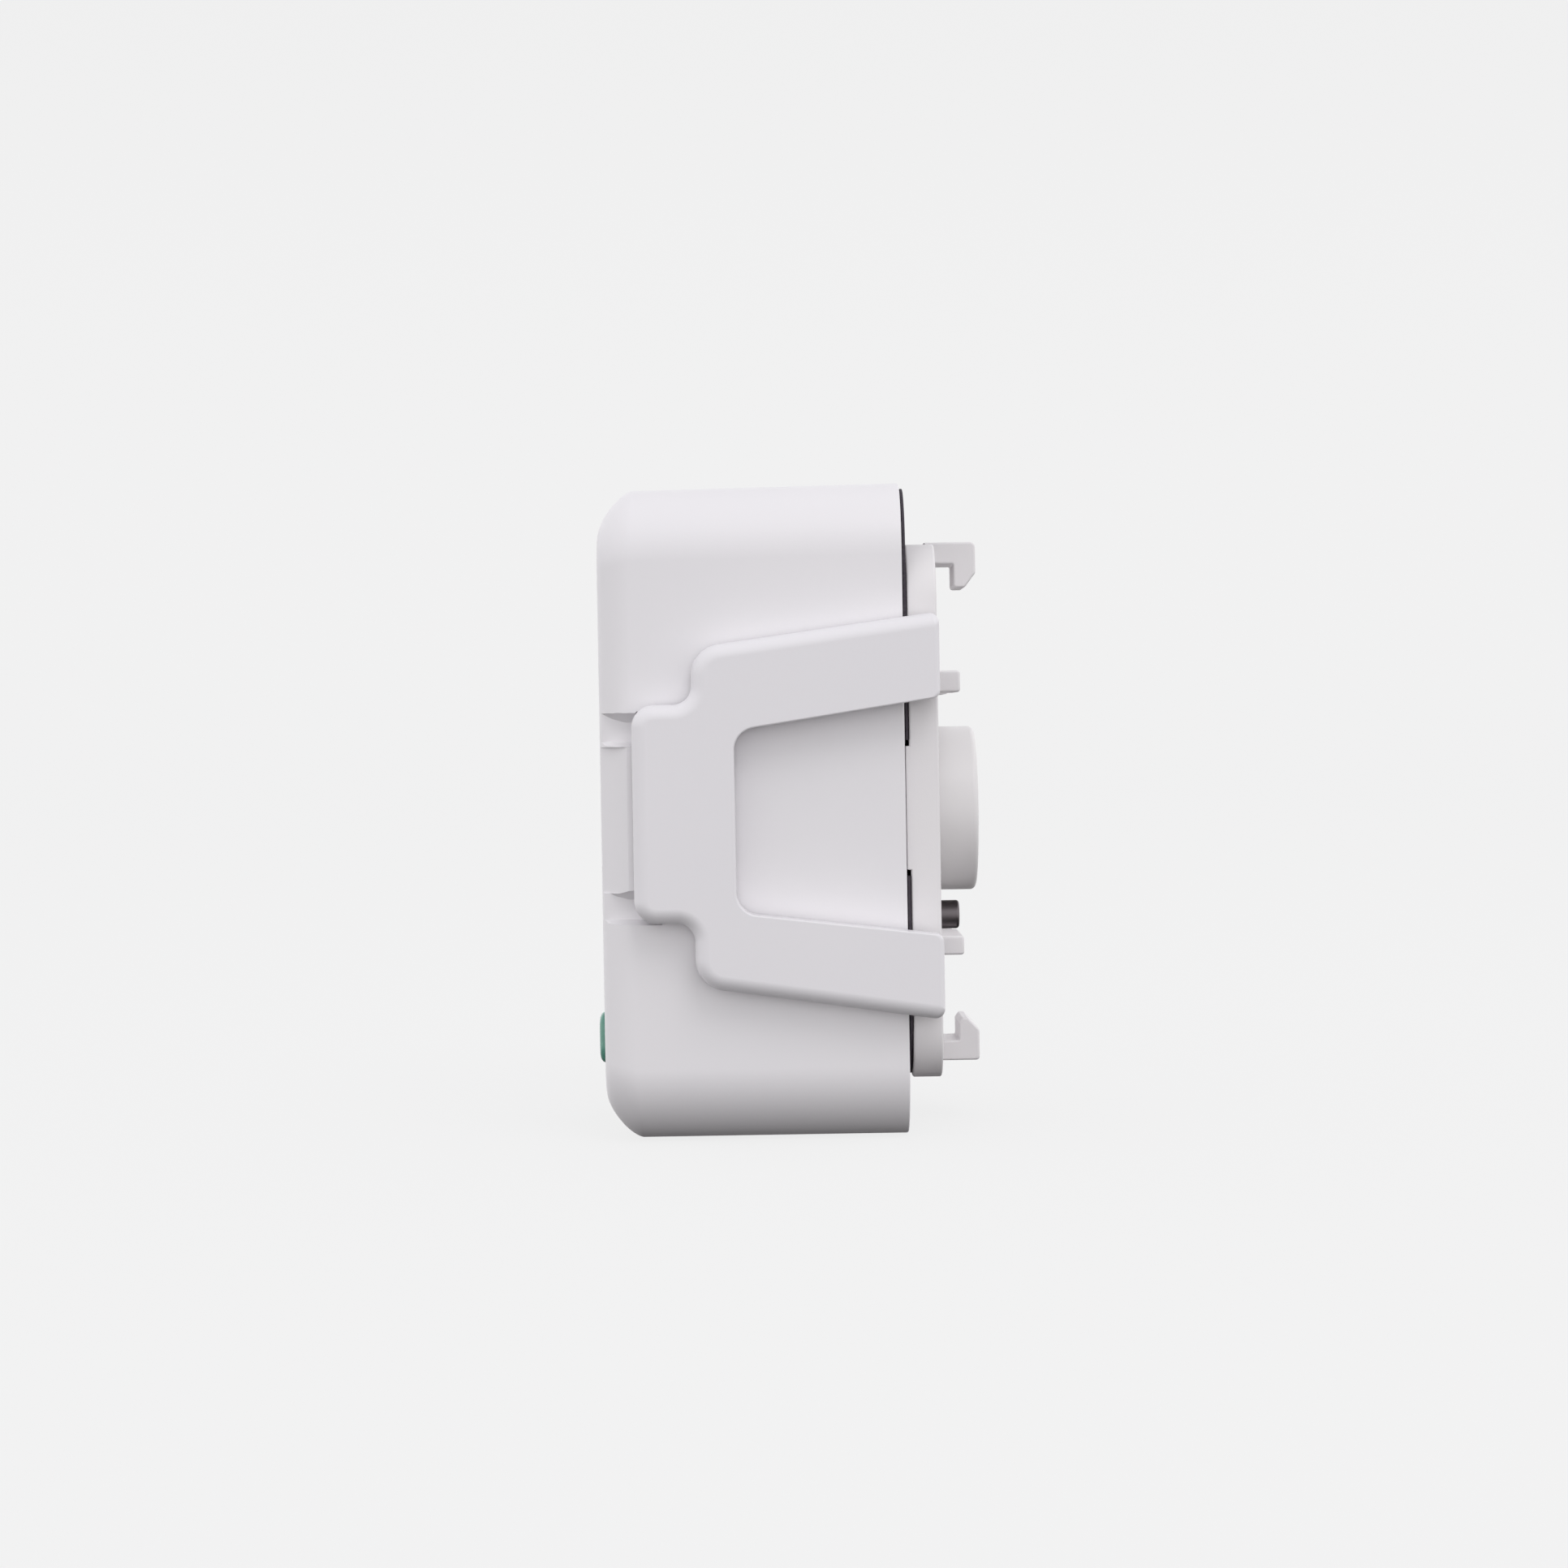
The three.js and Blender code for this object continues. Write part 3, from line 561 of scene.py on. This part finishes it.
# ------------------------------------------------------------------ side clips
CLIP_SOFT = 2.0  # rounding of the clip's outer rim
CLIP_SHARP = 0.22  # rounding of the window's rim
CLIP_REAR = 20.2
CLIP_INNER = -28.3  # the near clip's inner face
FINGERS = ((29.95, 33.6), (53.65, 57.2))  # heights of the catches that enter the pockets
KNUCKLES = ((17.5, 26.0), (60.5, 65.2))
KNUCKLE_RADIUS = 1.7
CLIP_CORNERS = (  # z, x, radius, and the rounding of the edge that follows
    (16.3, CLIP_REAR, 1.3, 0.7),
    (27.6, CLIP_REAR, 1.1, CLIP_SHARP),
    (30.9, -7.05, 3.0, CLIP_SHARP),
    (54.9, -7.05, 3.0, CLIP_SHARP),
    (58.9, CLIP_REAR, 1.1, 0.7),
    (70.2, CLIP_REAR, 1.3, CLIP_SOFT),
    (65.9, -12.6, 4.2, CLIP_SOFT),
    (58.5, -12.6, 2.4, CLIP_SOFT),
    (58.5, -20.55, 3.0, CLIP_SOFT),
    (29.6, -20.55, 3.0, CLIP_SOFT),
    (29.6, -12.6, 2.4, CLIP_SOFT),
    (21.2, -12.6, 4.2, CLIP_SOFT),
)


def side_clip():
    """The near clip: a flat U with a soft outer rim, two fingers and two hinge knuckles."""
    outline = [corner[:3] for corner in CLIP_CORNERS]
    rims = [corner[3] for corner in CLIP_CORNERS]
    clip = slab("side_clip_near_piece", "Y", outline, CLIP_LOW.y, CLIP_INNER, 0.25, rims, steps=8, arc=12)
    hinge = (HINGE_X, -HINGE_Y)
    neck_span = (HINGE_X - KNUCKLE_RADIUS + 0.01, HINGE_X + KNUCKLE_RADIUS - 0.01)
    parts = [block("finger", (-19.6, -17.3), (CLIP_INNER - 1, -26), heights, 0.3) for heights in FINGERS]
    for heights in KNUCKLES:
        parts.append(rod("knuckle", KNUCKLE_RADIUS, *heights, hinge, "Z", 0.2))
        parts.append(block("neck", neck_span, (CLIP_INNER - 1, -HINGE_Y), heights, 0.15))
    combine(clip, parts, "UNION")
    return combine(clip, [rod("bore", 1.1, 10, 80, hinge, "Z", segments=32)], "DIFFERENCE")


def side_clips():
    """The two clips, the far one a mirror of the near one."""
    near = side_clip()
    far = mirrored(near, "side_clip_far_piece")
    finished(near, "clip_near", "clip_white", "side_clip_near", angle=30)
    finished(far, "clip_far", "clip_white", "side_clip_far", angle=30)


# ------------------------------------------------------------------ carrier plate
PLATE_FRONT, PLATE_REAR, PLATE_TOP = 16.2, 20.15, 79.6
HOOK_HALF = 5.5
HOOK_ROOT = 19.6  # where the hooks and ribs begin, inside the plate
RIB_REAR = 23.35
RIBS = ((59.6, 62.5), (24.3, 26.9))
LAND = (36, 52.5)  # heights of the strips that bear on the housing
NOTCHES = ((60, 69), (17, 26.5))  # room for the clips' knuckles
PIN_SEATS = ((57.2, 72.4), (14.1, 29.3))
EJECTOR_MARKS = (33.5, 53.5, 71.5)


def hooks():
    """The two hooks, as outlines in (Z, X)."""
    outer, inner, root = PLATE_HIGH.x, 23.65, HOOK_ROOT
    top = [
        (80.6, root, 0.05), (77.6, root, 0.05), (77.6, inner, 0.25), (74.3, inner, 0.45),
        (74.3, outer - 1.5, 0.5), (76.3, outer, 0.6), (80.6, outer, 0.7),
    ]
    outer, inner = PLATE_HIGH.x - 0.45, 23.4
    bottom = [
        (8.4, root, 0.05), (8.4, outer, 0.5), (12.6, outer, 0.6), (14.3, outer - 1.6, 0.3),
        (14.3, inner + 0.5, 0.2), (13.6, inner, 0.3), (11.15, inner, 0.2), (11.15, root, 0.05),
    ]
    return [slab("hook", "Y", corners, -HOOK_HALF, HOOK_HALF, 0.3, arc=5) for corners in (top, bottom)]


def stepped_hole(name, radius, flare, z, segments=96):
    """The tool for a round hole through the plate, its rear edge chamfered by the flare."""
    wide = radius + flare
    profile = [(0, 10), (radius, 10), (radius, PLATE_REAR - flare), (wide, PLATE_REAR), (wide, 30), (0, 30)]
    return turned(name, profile, (0, z), segments=segments)


def plate_cuts(side):
    """The tools for one side of the plate: notches, pin seats open to the rear, and ejector pin marks."""
    across = sorted((side * 23, side * 30))
    mouth = sorted((side * (HINGE_Y - 0.9), side * (HINGE_Y + 0.9)))
    tools = [block("notch", (10, 22), across, heights, 0.3) for heights in NOTCHES]
    for heights in PIN_SEATS:
        tools.append(rod("seat", 1.06, *heights, (HINGE_X, side * HINGE_Y), "Z", segments=32))
        tools.append(block("mouth", (HINGE_X + 0.5, 22), mouth, heights, 0.1))
    for z in EJECTOR_MARKS:
        tools.append(rod("mark", 2.2, PLATE_REAR - 0.12, PLATE_REAR + 3, (side * 17, z), segments=32))
    return tools


def mount_plate():
    """The carrier plate, with its hooks, ribs and bearing strips moulded in one."""
    half = PLATE_HIGH.y
    outline = rectangle(-half, half, PLATE_LOW.z, PLATE_TOP, 7.5)
    plate = slab("mount_plate_piece", "X", outline, PLATE_FRONT, PLATE_REAR, 0.3, arc=14)
    parts = hooks()
    for side in (-1, 1):
        across = sorted((side * 8, side * 22.8))
        parts += [block("rib", (PLATE_REAR - 0.6, RIB_REAR), across, heights, 0.4) for heights in RIBS]
        bearing = sorted((side * 24, side * half))
        parts.append(block("land", (15.7, PLATE_FRONT + 0.6), bearing, LAND, 0.2))
    combine(plate, parts, "UNION")
    tools = [
        stepped_hole("bolt_hole", 12.1, 0.5, BOLT_Z),
        stepped_hole("pin_hole", 2.4, 0.3, SENSE_Z, segments=48),
    ]
    for side in (-1, 1):
        tools += plate_cuts(side)
    combine(plate, tools, "DIFFERENCE")
    return finished(plate, "housing", "plate_white", "mount_plate", angle=28)


def rear_gasket():
    """The foam sheet behind the housing, with holes for the bolt, the pin and the plate's strips. Its dark
    foam is partly painted shade, standing in for the shaded gap between the housing and the plate.
    """
    front, rear = GASKET_LOW.x, GASKET_HIGH.x
    outline = rectangle(GASKET_LOW.y, GASKET_HIGH.y, GASKET_LOW.z, GASKET_HIGH.z, 9.2)
    sheet = slab("rear_gasket_piece", "X", outline, front, rear, 0.12, arc=14)
    tools = [
        rod("hole", BOLT_RADIUS + 0.9, 10, 20, (0, BOLT_Z), segments=72),
        block("slot", (10, 20), (-3, 3), (SENSE_Z - 3, SENSE_Z + 5), 0.5),
    ]
    for side in (-1, 1):
        tools.append(block("land_gap", (10, 20), sorted((side * 22.8, side * 32)), (35.2, 53.3), 0.2))
    combine(sheet, tools, "DIFFERENCE")
    return finished(sheet, "housing", "gasket_foam", "rear_gasket")


# ------------------------------------------------------------------ bolt, pin and button
def latch_bolt():
    """The bolt: a hollow boss on a stem, whose groove holds the retainer."""
    low, high = BOLT_LOW.x, BOLT_HIGH.x
    radius, edge = BOLT_RADIUS, 0.75
    groove, stem, pocket_radius, pocket_end, shoulder = 3.0, 4.0, 8.6, 19, 7.0
    profile = [
        (0, low), (groove, low), (3.5, low + 0.15), (3.8, low + 0.6), (3.8, -8.95), (groove, -8.95),
        (groove, -6.05), (stem, -6.05), (stem, pocket_end), (pocket_radius, pocket_end),
        (pocket_radius, shoulder + 0.3), (pocket_radius + 0.3, shoulder), (radius - 0.4, shoulder),
        (radius, shoulder + 0.4), (radius, 15), (radius, high - edge),
    ]
    profile += [(radius - edge * b, high - edge * a) for a, b in quarter(6)[1:]]
    profile += [(radius - 2.2, high), (radius - 2.4, high - 0.15), (1.6, high - 0.15), (1.2, high - 0.35),
                (0, high - 0.4)]
    bolt = turned("latch_bolt_piece", profile, (0, BOLT_Z), segments=128)
    return finished(bolt, "bolt", "bolt_white", "latch_bolt")


def bolt_retainer():
    """The split ring in the stem's groove."""
    low, high = limits("bolt_retainer")
    outer = (high.z - low.z) / 2
    ring = turned(
        "bolt_retainer_piece",
        [(3.2, low.x + 0.2), (3.4, low.x), (outer - 0.3, low.x), (outer, low.x + 0.3),
         (outer, high.x - 0.3), (outer - 0.3, high.x), (3.4, high.x), (3.2, high.x - 0.2),
         (3.2, low.x + 0.2)],
        (0, BOLT_Z),
    )
    mouth = block("mouth", (-20, 0), (0, 12), (BOLT_Z - 2.6, BOLT_Z + 2.6), 0.3)
    combine(ring, [mouth], "DIFFERENCE")
    return finished(ring, "bolt", "acetal", "bolt_retainer")


def sense_pin():
    """The steel pin with a rounded end."""
    low, high = SENSE_LOW.x, SENSE_HIGH.x
    radius, edge = (SENSE_HIGH.z - SENSE_LOW.z) / 2, 0.45
    profile = [(0, low), (radius - 0.3, low), (radius, low + 0.3), (radius, high - edge)]
    profile += [(radius - edge * b, high - edge * a) for a, b in quarter(4)[1:]]
    profile.append((0, high))
    pin = turned("sense_pin_piece", profile, (0, SENSE_Z), segments=64)
    return finished(pin, "sensor", "pin_steel", "sense_pin")


def button_cap(radius, rear):
    """The round cap, with a dished face and a rounded rim, open at the back."""
    front, rim, edge, dip = BUTTON_LOW.x, 2.0, 1.4, 1.0
    dish = radius - rim
    profile = [(0, front + dip)]
    for k in range(1, 13):
        share = k / 12
        profile.append((dish * share, front + dip - 0.95 * share**2.4))
    profile += [(radius - edge * a, front + edge * b) for a, b in quarter(6)[1:]]
    profile += [(radius, rear), (radius - 2.4, rear), (radius - 2.4, front + 3), (0, front + 3)]
    return turned("release_button_piece", profile, (0, BOLT_Z), segments=128)


def release_button():
    """The cap, and behind it the carrier with its two legs."""
    radius, front, rear = 14.0, -21.3, -19.3
    cap = button_cap(radius, rear)
    carrier = slab("carrier", "X", rectangle(-9, 9, BUTTON_LOW.z, BUTTON_HIGH.z, 2), front, rear, 0.2)
    ring = rod("ring", radius + 1.8, front, rear, (0, BOLT_Z), soft=0.2, segments=96)
    combine(carrier, [ring], "UNION")
    combine(carrier, [rod("bore", radius - 1.2, -23, -17, (0, BOLT_Z), segments=96)], "DIFFERENCE")
    leg_half = 1.8
    reach = BUTTON_HIGH.z - leg_half - BOLT_Z
    legs = [
        block("leg", (front + 0.3, BUTTON_HIGH.x), (-3, 3), (z - leg_half, z + leg_half), 0.3)
        for z in (BOLT_Z - reach, BOLT_Z + reach)
    ]
    combine(cap, [carrier, *legs], "UNION")
    return finished(cap, "button", "button_white", "release_button", angle=25)


def status_indicator():
    """A raised lens with a softly crowned face."""
    front, back = LENS_LOW.x, -22.0
    face = rectangle(LENS_LOW.y, LENS_HIGH.y, LENS_LOW.z, LENS_HIGH.z, 2.6)
    crown, spread = 0.9, 1.15
    rings = []
    for a, b in quarter(9):
        corners = anticlockwise(face, crown * a * spread)
        rings.append([(front + crown * b, y, z) for y, z, _ in drawn_in(corners, 1.0, 10)])
    rings.append([(back, y, z) for y, z, _ in drawn_in(anticlockwise(face, 0.0), 0.0, 10)])
    body = loft("status_indicator_piece", rings)
    neck = block("neck", (back - 1, LENS_HIGH.x), (-4, 4), (10.1, 13.1), 0.3)
    combine(body, [neck], "UNION")
    return finished(body, "sensor", "indicator_green", "status_indicator")


def indicator_bezel():
    """The raised frame round the indicator, with a sleeve into the housing."""
    front = SHELL_LOW.x
    outline = rectangle(BEZEL_LOW.y, BEZEL_HIGH.y, BEZEL_LOW.z, BEZEL_HIGH.z, 3.6)
    flange = slab("indicator_bezel_piece", "X", outline, BEZEL_LOW.x, front - 0.03, 0.02, 0.5)
    sleeve = slab("sleeve", "X", rectangle(-8.1, 8.1, 7.7, 17.1, 3), front - 0.2, BEZEL_HIGH.x, 0.15)
    combine(flange, [sleeve], "UNION")
    mouth = slab("mouth", "X", rectangle(-7.3, 7.3, 8.5, 16.3, 2.6), front - 2, front + 4, 0.1)
    combine(flange, [mouth], "DIFFERENCE")
    return finished(flange, "housing", "housing_white", "indicator_bezel")


# ------------------------------------------------------------------ pins, screws and springs
def steel_pins():
    """The clips' upright hinge pins and the rockers' level ones."""
    for name in CLIP_PINS:
        low, high = limits(name)
        radius = (high.x - low.x) / 2
        pin = rod(name + "_piece", radius, low.z, high.z, middle(name, "xy"), "Z", 0.25, 40)
        finished(pin, "housing", "pin_steel", name)
    for name in ROCKER_PINS:
        low, high = limits(name)
        radius = (high.x - low.x) / 2
        pin = rod(name + "_piece", radius, low.y, high.y, middle(name, "zx"), "Y", 0.25, 40)
        finished(pin, "housing", "pin_steel", name)


def screw_profile(low, high):
    """A pointed shank with a coarse thread cut as rings, and a domed pan head."""
    head, head_radius, dome = 13.4, 2.75, 0.8
    crest, root, pitch = 1.25, 0.95, 0.7
    profile = [(0, low), (0.35, low + 0.1), (0.85, low + 1.0)]
    x = low + 1.0
    while x + pitch < head - 0.6:
        profile += [(crest, x + 0.3), (root, x + 0.62)]
        x += pitch
    profile += [(1.15, head - 0.4), (crest, head), (head_radius, head), (head_radius, high - dome)]
    for k in range(1, 6):
        angle = math.pi / 2 * k / 6
        profile.append((head_radius * math.cos(angle) ** 0.5, high - dome + dome * math.sin(angle)))
    profile.append((0, high))
    return profile


def screws():
    """Pan-head screws with a cross recess."""
    long, short, depth = 1.5, 0.3, 1
    for name in CASE_SCREWS + CHASSIS_SCREWS:
        low, high = limits(name)
        y, z = middle(name)
        body = turned(name + "_piece", screw_profile(low.x, high.x), (y, z), segments=40)
        tools = [
            block("slot", (high.x - depth, high.x + depth), (y - a, y + a), (z - b, z + b), 0.05)
            for a, b in ((long, short), (short, long))
        ]
        combine(body, tools, "DIFFERENCE")
        finished(body, "housing", "screw_steel", name)


def swept(name, path, radius, sides=12):
    """A round wire along a list of points."""
    rings = []
    for i, p in enumerate(path):
        before, after = path[max(i - 1, 0)], path[min(i + 1, len(path) - 1)]
        ahead = (after - before).normalized()
        aside = Vector((0.31, 0.83, 0.46)) if abs(ahead.x) > 0.5 else Vector((1, 0, 0))
        side = ahead.cross(aside).normalized()
        up = ahead.cross(side)
        turn = [2 * math.pi * k / sides for k in range(sides)]
        rings.append([p + side * (radius * math.cos(a)) + up * (radius * math.sin(a)) for a in turn])
    return loft(name, rings)


SPRING_STEPS = 28  # points in each turn of a spring


def coil_spring(name, radius, wire, turns, z):
    """A compression spring along X with closed end turns."""
    low, high = limits(name)
    start, end = low.x + wire, high.x - wire
    path = []
    steps = turns * SPRING_STEPS
    for i in range(steps + 1):
        share = i / steps
        closed = 0.5 - 0.5 * math.cos(math.pi * share)
        along = start + (end - start) * (0.55 * share + 0.45 * closed)
        angle = 2 * math.pi * turns * share
        path.append(Vector((along, radius * math.cos(angle), z + radius * math.sin(angle))))
    spring = finished(swept(name + "_piece", path, wire), "housing", "spring_steel", name)
    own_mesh(spring)


def clip_spring(side, sign):
    """A torsion spring round a clip's hinge pin, with a leg on the clip and a leg on the plate."""
    base = Vector((HINGE_X, sign * HINGE_Y, 65.8))
    radius, turns, rise, wire = 1.45, 3, 2.4, 0.25
    path = [base + Vector((radius, sign * 2.2, 0)), base + Vector((radius, sign * 1.0, 0))]
    steps = turns * SPRING_STEPS
    for i in range(steps + 1):
        share = i / steps
        angle = -sign * 2 * math.pi * turns * share
        path.append(base + Vector((radius * math.cos(angle), radius * math.sin(angle), rise * share)))
    path += [base + Vector((radius, -sign * 1.0, rise)), base + Vector((radius, -sign * 1.7, rise))]
    spring = swept(f"clip_spring_{side}_piece", path, wire)
    finished(spring, "housing", "spring_steel", f"clip_spring_{side}")


def springs():
    coil_spring("bolt_spring", 6.6, 0.55, 7, BOLT_Z)
    coil_spring("sense_spring", 2.2, 0.25, 4, SENSE_Z)
    clip_spring("near", -1)
    clip_spring("far", 1)


# ------------------------------------------------------------------ inner pieces
def refined(name, body, slot, width):
    """An inner piece from its CAD shape, welded and with its edges eased."""
    mesh = frame["nodes"][name].data.copy()
    work = bmesh.new()
    work.from_mesh(mesh)
    bmesh.ops.remove_doubles(work, verts=work.verts, dist=2e-6)
    bmesh.ops.dissolve_limit(work, angle_limit=math.radians(1), verts=work.verts, edges=work.edges)
    edges = [e for e in work.edges if len(e.link_faces) == 2 and e.calc_face_angle() > math.radians(40)]
    bmesh.ops.bevel(work, geom=edges, offset=width * MM, segments=2, profile=0.5, affect="EDGES",
                    clamp_overlap=True)
    work.to_mesh(mesh)
    work.free()
    made = bpy.data.objects.new(name + "_piece", mesh)
    bpy.context.scene.collection.objects.link(made)
    return finished(made, body, slot, name, angle=40)


def inner_pieces():
    """The pieces that show only when the latch is open or taken apart."""
    refined("rear_cover", "housing", "plate_white", 0.15)
    refined("chassis", "housing", "inner_frame", 0.2)
    refined("rocker_upper", "rocker_top", "acetal", 0.15)
    refined("rocker_lower", "rocker_bottom", "acetal", 0.15)
    refined("indicator_link", "sensor", "acetal", 0.2)


# ------------------------------------------------------------------ camera, lights and stage
CAMERA_AT = Vector((-2.245, -475.0, 55.6)) * MM
CAMERA_LENS = 77.39
CAMERA_YAW = 0.2207  # degrees towards +X
CAMERA_DROP = 1.007  # degrees below level
CAMERA_ROLL = 0.98  # degrees clockwise, as its operator sees it


def camera():
    """The camera at the object's side, square on, a little below its top."""
    data = bpy.data.cameras.new("camera")
    data.lens = CAMERA_LENS
    data.sensor_width = 36.0
    data.clip_start, data.clip_end = 0.01, 50.0
    made = bpy.data.objects.new("camera", data)
    bpy.context.scene.collection.objects.link(made)
    yaw, drop = math.radians(CAMERA_YAW), math.radians(CAMERA_DROP)
    ahead = Vector((math.tan(yaw), 1, -math.tan(drop))).normalized()
    right = ahead.cross(Vector((0, 0, 1))).normalized()
    up = right.cross(ahead)
    roll = math.radians(CAMERA_ROLL)
    tilted_up = up * math.cos(roll) + right * math.sin(roll)
    tilted_right = ahead.cross(tilted_up)
    turn = Matrix((tilted_right, tilted_up, -ahead)).transposed().to_4x4()
    made.matrix_world = Matrix.Translation(CAMERA_AT) @ turn
    bpy.context.scene.camera = made


def area_light(name, at, aim, size, power, colour):
    """A soft box at one place, aimed at another, in metres and watts."""
    data = bpy.data.lights.new(name, "AREA")
    data.shape = "RECTANGLE"
    data.size, data.size_y = size
    data.energy = power
    data.color = colour
    made = bpy.data.objects.new(name, data)
    bpy.context.scene.collection.objects.link(made)
    made.location = at
    made.rotation_mode = "QUATERNION"
    made.rotation_quaternion = (Vector(aim) - Vector(at)).to_track_quat("-Z", "Y")


def world():
    """Light from all round: brightest at eye level, a little dimmer overhead, and nearly dark below."""
    made = bpy.data.worlds.new("world")
    bpy.context.scene.world = made
    made.use_nodes = True
    tree = made.node_tree
    background = tree.nodes["Background"]
    place = node(tree, "ShaderNodeTexCoord")
    split = node(tree, "ShaderNodeSeparateXYZ")
    ramp = node(tree, "ShaderNodeValToRGB")
    tree.links.new(place.outputs["Generated"], split.inputs["Vector"])
    height = node(tree, "ShaderNodeMapRange")
    height.inputs["From Min"].default_value = -1
    tree.links.new(split.outputs["Z"], height.inputs["Value"])
    tree.links.new(height.outputs["Result"], ramp.inputs["Fac"])
    tree.links.new(ramp.outputs["Color"], background.inputs["Color"])
    stops = (  # place from straight down to straight up, and the light there
        (0.0, (0.004, 0.0037, 0.0038)),
        (0.10, (0.008, 0.0075, 0.0076)),
        (0.20, (0.012, 0.011, 0.011)),
        (0.34, (0.27, 0.258, 0.262)),
        (0.42, (0.93, 0.92, 0.925)),
        (0.50, (0.99, 0.982, 0.992)),
        (0.62, (0.98, 0.975, 0.99)),
        (0.75, (0.79, 0.787, 0.805)),
        (0.90, (0.586, 0.584, 0.60)),
        (1.0, (0.55, 0.548, 0.565)),
    )
    elements = ramp.color_ramp.elements
    elements[0].position, elements[1].position = stops[0][0], stops[-1][0]
    for place_up, _ in stops[1:-1]:
        elements.new(place_up)
    for element, (_, colour) in zip(elements, stops):
        element.color = (*colour, 1)
    background.inputs["Strength"].default_value = 1.22


def paper():
    """Pale studio paper that mostly glows by itself, so that it stays even."""
    material = bpy.data.materials.new("studio_paper")
    material.use_nodes = True
    tree = material.node_tree
    tree.nodes.clear()
    output = node(tree, "ShaderNodeOutputMaterial")
    glow = node(tree, "ShaderNodeEmission", Color=(0.80, 0.80, 0.80, 1))
    matt = node(tree, "ShaderNodeBsdfDiffuse", Color=(0.09, 0.09, 0.09, 1))
    both = node(tree, "ShaderNodeAddShader")
    tree.links.new(glow.outputs[0], both.inputs[0])
    tree.links.new(matt.outputs[0], both.inputs[1])
    tree.links.new(both.outputs[0], output.inputs["Surface"])
    return material


def stage():
    """A round floor that sweeps up into a backdrop. Only the camera sees it, so it throws no light back."""
    radius, height, bend, segments = 3000.0, 4000.0, 800.0, 96
    profile = [(400, 0), (radius - bend, 0)]
    profile += [(radius - bend * a, bend * b) for a, b in quarter(12)[1:]]
    profile.append((radius, height))
    turn = [2 * math.pi * i / segments for i in range(segments)]
    points = [(r * math.cos(angle), r * math.sin(angle), z) for r, z in profile for angle in turn]
    middle_face = tuple(range(segments))
    sweep = mesh_object("studio_floor", points, [*skin(segments, len(profile)), middle_face])
    sweep.location.z = -0.00002
    sweep.data.polygons.foreach_set("use_smooth", [True] * len(sweep.data.polygons))
    sweep.data.materials.append(paper())
    sweep.visible_diffuse = False
    sweep.visible_glossy = False
    sweep.visible_transmission = False
    sweep.visible_shadow = False


def lights():
    area_light("key", (0.35, -0.75, 1.05), (0, 0, 0.045), (0.6, 0.5), 2.6, (1, 0.99, 1))
    bpy.context.scene.view_settings.view_transform = "Standard"


camera()
world()
stage()
lights()
front_shell()
side_clips()
mount_plate()
rear_gasket()
latch_bolt()
bolt_retainer()
sense_pin()
release_button()
status_indicator()
indicator_bezel()
steel_pins()
screws()
springs()
inner_pieces()
